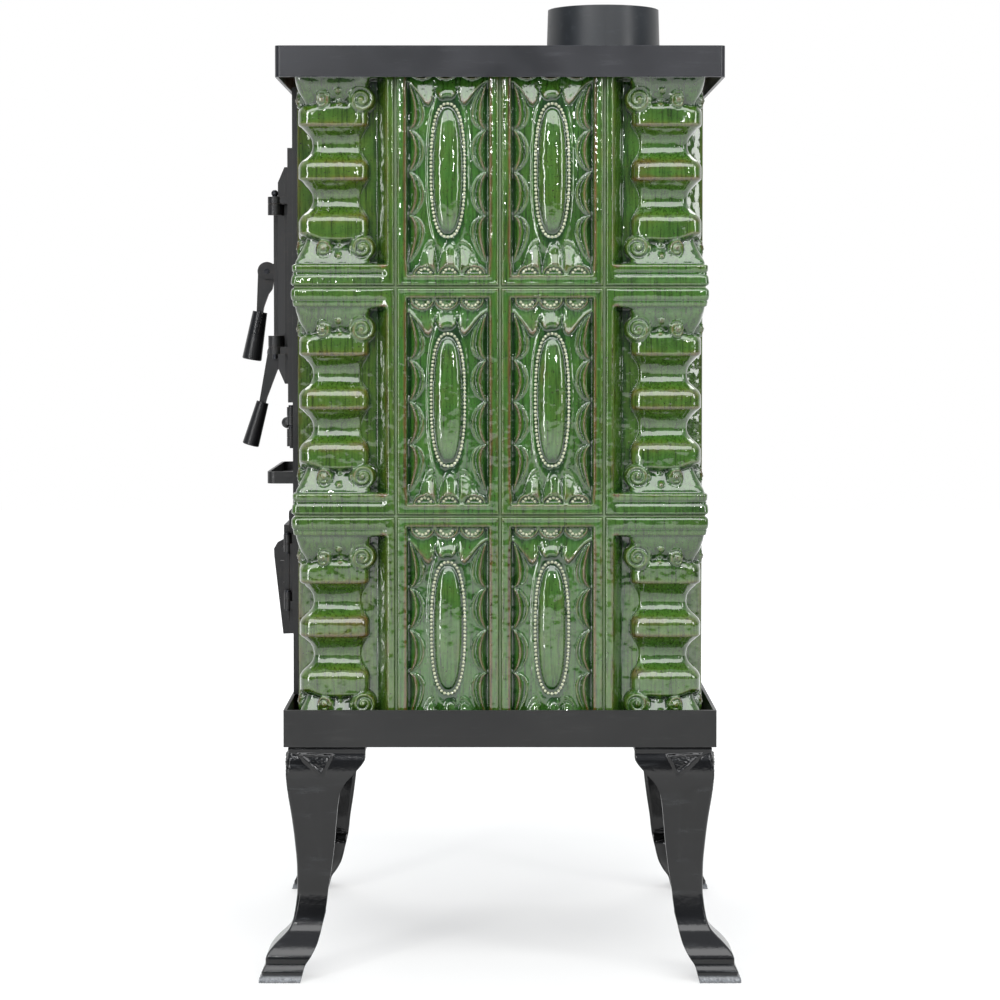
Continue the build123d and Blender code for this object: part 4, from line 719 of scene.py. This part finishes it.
finishes = {
    "joint_mortar": coated("lime_joint_mortar", "5d6f49", "7f8f72", 0.8, "9aa68f", grain_mm=1.0, depth_mm=0.2),
    "stove_clay": coated("stove_clay", "8a6f55", "a08468", 0.9, "b39a80", depth_mm=0.3),
    "fire_brick": coated("fired_chamotte_brick", "b59f7c", "c8b491", 0.9, "d8c9ab", depth_mm=0.3),
    "baffle_board": coated("vermiculite_board", "b8a888", "c9bb9c", 0.9, "d6cbb2", depth_mm=0.3),
    "black_sheet": coated("matt_black_painted_sheet_steel", "0c0c0c", "151514", 0.38, "484846"),
    "top_sheet": coated("dark_grey_satin_painted_sheet", "141519", "1c1d22", 0.34, "505157"),
    "flue_metal": coated("flue_pipe_steel_paint", "14171a", "1c2024", 0.38, "50555a"),
    "leg_enamel": coated("glossy_black_enamelled_cast_iron", "090909", "111112", 0.15, "55595c",
        grain_mm=4.0, depth_mm=0.3),
    "cast_iron": coated("black_painted_cast_iron", "0a0a0b", "131314", 0.4, "4d4238", grain_mm=1.4, depth_mm=0.15),
    "grip_sleeve": coated("black_bakelite_sleeve", "0a0a0b", "111112", 0.3, "2a2a2b"),
    "stove_glass": pane_material(),
    "seal_rope": coated("glass_fibre_rope", "9a958a", "b3aea2", 0.9, "c4c0b6"),
    "pan_steel": coated("galvanised_pan_steel", "8d9194", "a4a8ab", 0.4, "b4b8ba", metallic=1.0),
    "dark_steel": coated("blued_screw_steel", "2a2b2e", "3a3b3e", 0.35, "6a6b6e", metallic=1.0),
}
OTHER_FINISH = {"top_plate": "top_sheet"}  # the top plate's paint is greyer than the other sheets'
for part in frame["record"]["subparts"]:
    piece = frame["nodes"][part["node"]]
    finish = OTHER_FINISH.get(part["node"], part["material_slot"])
    piece.data.materials.clear()
    piece.data.materials.append(finishes.get(finish, glaze))


# ---------------------------------------------------------------- legs
# In millimetres: a side's outer and inner outlines as (height over the floor, distance out from the stove's axis).
LEG_TALL = 225.0
LEG_OUTER = np.array([(0, 232.6), (2.7, 232.2), (6.5, 230.0), (9, 230.2), (13, 228.6), (17, 226.6), (21, 226.8),
    (25.5, 225.5), (31, 221.5), (36.5, 216), (42, 209.6), (47, 205), (53, 202.4), (59, 201), (71, 199.2), (82, 198.2),
    (105, 198.4), (129, 200.2), (153, 202.9), (176, 206.2), (187.5, 207.6), (199, 208.4), (211, 207.4), (219, 205.6),
    (222, 206.4), (LEG_TALL, 205.2)])
LEG_INNER = np.array([(0, 192.8), (14, 189), (25.5, 181.8), (36.5, 176.5), (47, 174), (59, 171), (71, 169.2),
    (82, 168), (105, 164.5), (129, 161.5), (153, 159.4), (176, 156.4), (187.5, 151.5), (199, 141.5), (211, 131.8),
    (213, 131.0), (LEG_TALL, 130.8)])
# Corners of the raised bib and the sunk panel on a side, as (distance in from the outer edge, height).
LEG_BIB = ((6.0, 219.5), (45.0, 217.5), (36.0, 196.5))
LEG_PANEL = ((13.0, 188.0), (31.5, 178.0), (24.0, 106.0))
LEG_SOLID_BELOW = 60.0  # up to here the two sides fill up to a solid foot


def inside_triangle(s, z, corners):
    """Distance into a triangle from its nearest side in mm, negative outside. Its corners go round to the right."""
    reach = np.full(s.shape, np.inf)
    for (a_s, a_z), (b_s, b_z) in zip(corners, corners[1:] + corners[:1]):
        run = math.hypot(b_s - a_s, b_z - a_z)
        reach = np.minimum(reach, ((s - a_s) * (a_z - b_z) + (z - a_z) * (b_s - a_s)) / -run)
    return reach


def leg_relief(s, z):
    """How far a side of a leg stands out, s mm in from its outer edge at a height z: a raised bib of hammered texture
    with a rolled hem, a long sunk panel that tapers downwards, a rough outer edge and a ragged lip at the toe. The
    hammering is a product of sines of both distances."""
    bib = inside_triangle(s, z, LEG_BIB)
    panel = inside_triangle(s, z, LEG_PANEL)
    hammer = np.sin(s * 1.9 + 1.3 * np.sin(z * 0.9)) * np.sin(z * 1.7 + 1.1 * np.sin(s * 1.1))
    fine = np.sin(s * 3.1 + 1.7 * np.sin(z * 1.3)) * np.sin(z * 2.3 + 1.9 * np.sin(s * 0.7))
    hem = 1.1 * np.exp(-(((bib - 1.4) / 1.0) ** 2)) * (1 + 0.4 * fine)
    relief = smooth_step(bib, -0.2, 1.6) * (1.3 + 0.75 * hammer) + hem
    relief = relief - 0.8 * smooth_step(panel, 0.0, 1.4) * (1 + 0.45 * fine)
    relief = relief + 0.6 * fine * np.exp(-((s / 4.0) ** 2)) * smooth_step(z, 140.0, 190.0)
    return relief + 0.7 * (hammer + fine) * (1 - smooth_step(z, 2.0, 7.5))


def sleeve(grid):
    """A closed shell from a grid whose rows go round it: quads between the rows, and a face over each end."""
    rows, columns = grid.shape[:2]
    count = rows * columns
    ends = [list(range(0, count, columns)), list(range(columns - 1, count, columns))[::-1]]
    return grid.reshape(-1, 3), grid_faces(rows, columns, closed_rows=True).tolist() + ends


def upright_sleeve(outline, low, high):
    """A prism over an outline of (a, b) points, between two heights."""
    flat = np.array(outline, float)
    return sleeve(np.stack([np.concatenate([flat, np.full((len(flat), 1), z)], 1) for z in (low, high)], 1))


def leg_shell():
    """The two sides of a leg as one shell, from the distances a and b out from the stove's axis along both walls.
    Every level is an angle with a rounded outer corner: out along one side, round the corner, back along the other,
    and home along the inner faces, which meet in the solid foot."""
    z = spread((0, 10, 10 // thin), (10, 170, 80 // thin), (170, LEG_TALL, 55 // thin))
    outer = along(LEG_OUTER, z)
    inner = along(LEG_INNER, z)
    wall = 9 + (outer - inner - 10) * (1 - smooth_step(z, LEG_SOLID_BELOW - 4, LEG_SOLID_BELOW + 4))
    radius = 2.0 + 2.5 * smooth_step(z, 40.0, 90.0)
    k = np.linspace(0, 1, 50 // thin)[:, None]
    side_b = inner + (outer - radius - inner) * k
    side_a = outer + leg_relief(outer - side_b, z + 0 * side_b)
    phi = np.radians(np.linspace(0, 45, 7))[1:, None]
    swell = radius + leg_relief(radius * (1 - phi / math.radians(45)), z + 0 * phi)
    half_a = np.concatenate([side_a, outer - radius + swell * np.cos(phi)])
    half_b = np.concatenate([side_b, outer - radius + swell * np.sin(phi)])
    back = inner + (outer - wall - inner) * np.linspace(0, 1, 8)[:, None]
    meet = outer - wall + 0 * back
    a = np.concatenate([half_a, half_b[-2::-1], back, meet[1:]])
    b = np.concatenate([half_b, half_a[-2::-1], meet, back[-2::-1]])
    return sleeve(np.stack([a, b, z + 0 * a], -1))


def leg_shape():
    """A whole leg: its shell, the flange under the tray, and the bolt boss with the rib behind it."""
    round_a = np.radians(np.arange(0, 360, 15))
    ring = np.stack([np.cos(round_a), np.sin(round_a)], -1)
    profile = np.array([(9.9, 206.0), (9.9, 193.2), (13.0, 193.2), (13.0, 220.0)])
    levels = np.broadcast_to(profile[None, :, 1:], (len(ring), len(profile), 1))
    boss = np.concatenate([166.0 + ring[:, None] * profile[None, :, :1], levels], -1)
    flange = ((131, 131), (198, 131), (198, 198), (131, 198))
    rib = ((172.0, 177.6), (177.6, 172.0), (197.0, 191.4), (191.4, 197.0))
    shapes = [leg_shell(), upright_sleeve(flange, 219.0, 224.8), sleeve(boss), upright_sleeve(rib, 199.0, 220.0)]
    points, faces = [], []
    for more, polygons in shapes:
        shift = sum(len(p) for p in points)
        faces += [[i + shift for i in polygon] for polygon in polygons]
        points.append(more)
    return np.concatenate(points), faces


points, faces = leg_shape()
scraped = {"bare": 1 - smooth_step(points[:, 2], 2.0, 8.0)}  # the feet's lowest millimetres
points = np.stack([points[:, 0] * MM, middle_y - points[:, 1] * MM, points[:, 2] * MM], -1)
for quarter, corner in enumerate(CORNERS):
    places = turned(points, 90 * quarter)
    leg = add_piece(f"cast_leg_{corner}", places, faces, finishes["leg_enamel"], values=scraped)
    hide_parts(f"leg_{corner}")


# ---------------------------------------------------------------- floor, light and camera
def backdrop_material():
    """Matt white paper: lit as any floor, so it keeps the shadow. To the camera and in reflections it is near white,
    and far from the stove, where it meets the backdrop, it is as white as that."""
    made, tree, out = new_material("white_paper_backdrop")
    paper = node(tree, "BsdfDiffuse", {"Color": linear("a8a8a6"), "Roughness": 0.0})
    place = node(tree, "TexCoord").outputs["Object"]
    away = node(tree, "VectorMath", {0: place}, operation="LENGTH").outputs["Value"]
    paler = {"Value": away, "From Min": 0.5, "From Max": 2.4, "To Min": 0.55, "To Max": 0.98}
    level = node(tree, "MapRange", paler).outputs[0]
    shine = node(tree, "Emission", {"Color": linear("ffffff"), "Strength": level})
    both = node(tree, "AddShader", {0: paper.outputs[0], 1: shine.outputs[0]})
    path = node(tree, "LightPath")
    bent = sums(tree, "MAXIMUM", path.outputs["Is Glossy Ray"], path.outputs["Is Transmission Ray"])
    seen = sums(tree, "MAXIMUM", path.outputs["Is Camera Ray"], bent)
    kind = node(tree, "MixShader", {0: seen, 1: paper.outputs[0], 2: both.outputs[0]})
    tree.links.new(kind.outputs[0], out.inputs["Surface"])
    return made


def floor_sheet(half, at):
    """A flat square floor through the feet."""
    corners = np.array([[-1, -1, 0], [1, -1, 0], [1, 1, 0], [-1, 1, 0]], float) * half + np.array(at)
    mesh = bpy.data.meshes.new("floor")
    mesh.from_pydata(corners, [], [(0, 1, 2, 3)])
    mesh.materials.append(backdrop_material())
    made = bpy.data.objects.new("floor", mesh)
    scene.collection.objects.link(made)


def soft_lamp(name, at, aim, wide, tall, watts):
    """A rectangular soft box at a point, turned to face another."""
    lamp = bpy.data.lights.new(name, "AREA")
    lamp.shape, lamp.size, lamp.size_y, lamp.energy = "RECTANGLE", wide, tall, watts
    made = bpy.data.objects.new(name, lamp)
    made.location = at
    way = np.array(aim, float) - np.array(at, float)
    made.rotation_euler = (math.acos(-way[2] / np.linalg.norm(way)), 0.0, math.atan2(way[1], way[0]) - math.pi / 2)
    scene.collection.objects.link(made)


def world_light():
    """A pale room: white to the camera and through glass, and the white backdrop behind the stove is white in
    reflections too. The side behind the camera is a dim room, darkest at the floor and paler at the ceiling."""
    room = bpy.data.worlds.new("studio")
    room.use_nodes = True
    tree = room.node_tree
    tree.nodes.clear()
    path = node(tree, "LightPath")
    seen = sums(tree, "MAXIMUM", path.outputs["Is Camera Ray"], path.outputs["Is Transmission Ray"])
    way = node(tree, "SeparateXYZ", {0: node(tree, "TexCoord").outputs["Generated"]}).outputs
    behind = node(tree, "MapRange", {"Value": way["X"], "From Min": -0.05, "From Max": -0.35}).outputs[0]
    mirrored = sums(tree, "MULTIPLY", path.outputs["Is Glossy Ray"], behind)
    seen = sums(tree, "MAXIMUM", seen, mirrored)
    height = node(tree, "Math", {0: way["Z"], 1: 0.5, 2: 0.5}, operation="MULTIPLY_ADD").outputs[0]
    dim = ramp(tree, height, [(0.46, "64686f"), (0.57, "70767e"), (0.66, "a9afb9"), (0.95, "d3d7df")])
    soft = node(tree, "Background", {"Color": dim, "Strength": 1.0})
    plain = node(tree, "Background", {"Color": linear("ffffff"), "Strength": 1.0})
    kind = node(tree, "MixShader", {0: seen, 1: soft.outputs[0], 2: plain.outputs[0]})
    node(tree, "OutputWorld", {"Surface": kind.outputs[0]})
    scene.world = room


floor_sheet(6.0, (0.0, middle_y, -0.0005))
world_light()
soft_lamp("tall_box_front", (2.2, -1.5, 1.0), (0.2, middle_y, 0.55), 0.26, 2.0, 21)
soft_lamp("tall_box_rear", (1.6, 2.0, 1.3), (0.2, middle_y, 0.55), 0.5, 1.6, 17)
soft_lamp("ceiling_panel", (2.0, middle_y, 2.4), (0.2, middle_y, 0.6), 3.6, 1.9, 82)
soft_lamp("ceiling_panel_behind", (-1.7, middle_y, 2.6), (-0.1, middle_y, 0.5), 3.0, 1.3, 46)
soft_lamp("small_box_left", (2.6, -0.55, 1.25), (0.2, middle_y, 0.55), 0.06, 0.08, 3)
soft_lamp("small_box_right", (2.6, 0.75, 1.05), (0.2, middle_y, 0.55), 0.06, 0.08, 3)

camera = bpy.data.objects.new("camera", bpy.data.cameras.new("camera"))
camera.data.lens, camera.data.sensor_width = 96.8, 36.0
camera.data.shift_y = -0.08
camera.location = (2.803, middle_y, 0.645)
camera.rotation_euler = (math.radians(90 - 2.26), 0.0, math.radians(90))
scene.collection.objects.link(camera)
scene.camera = camera
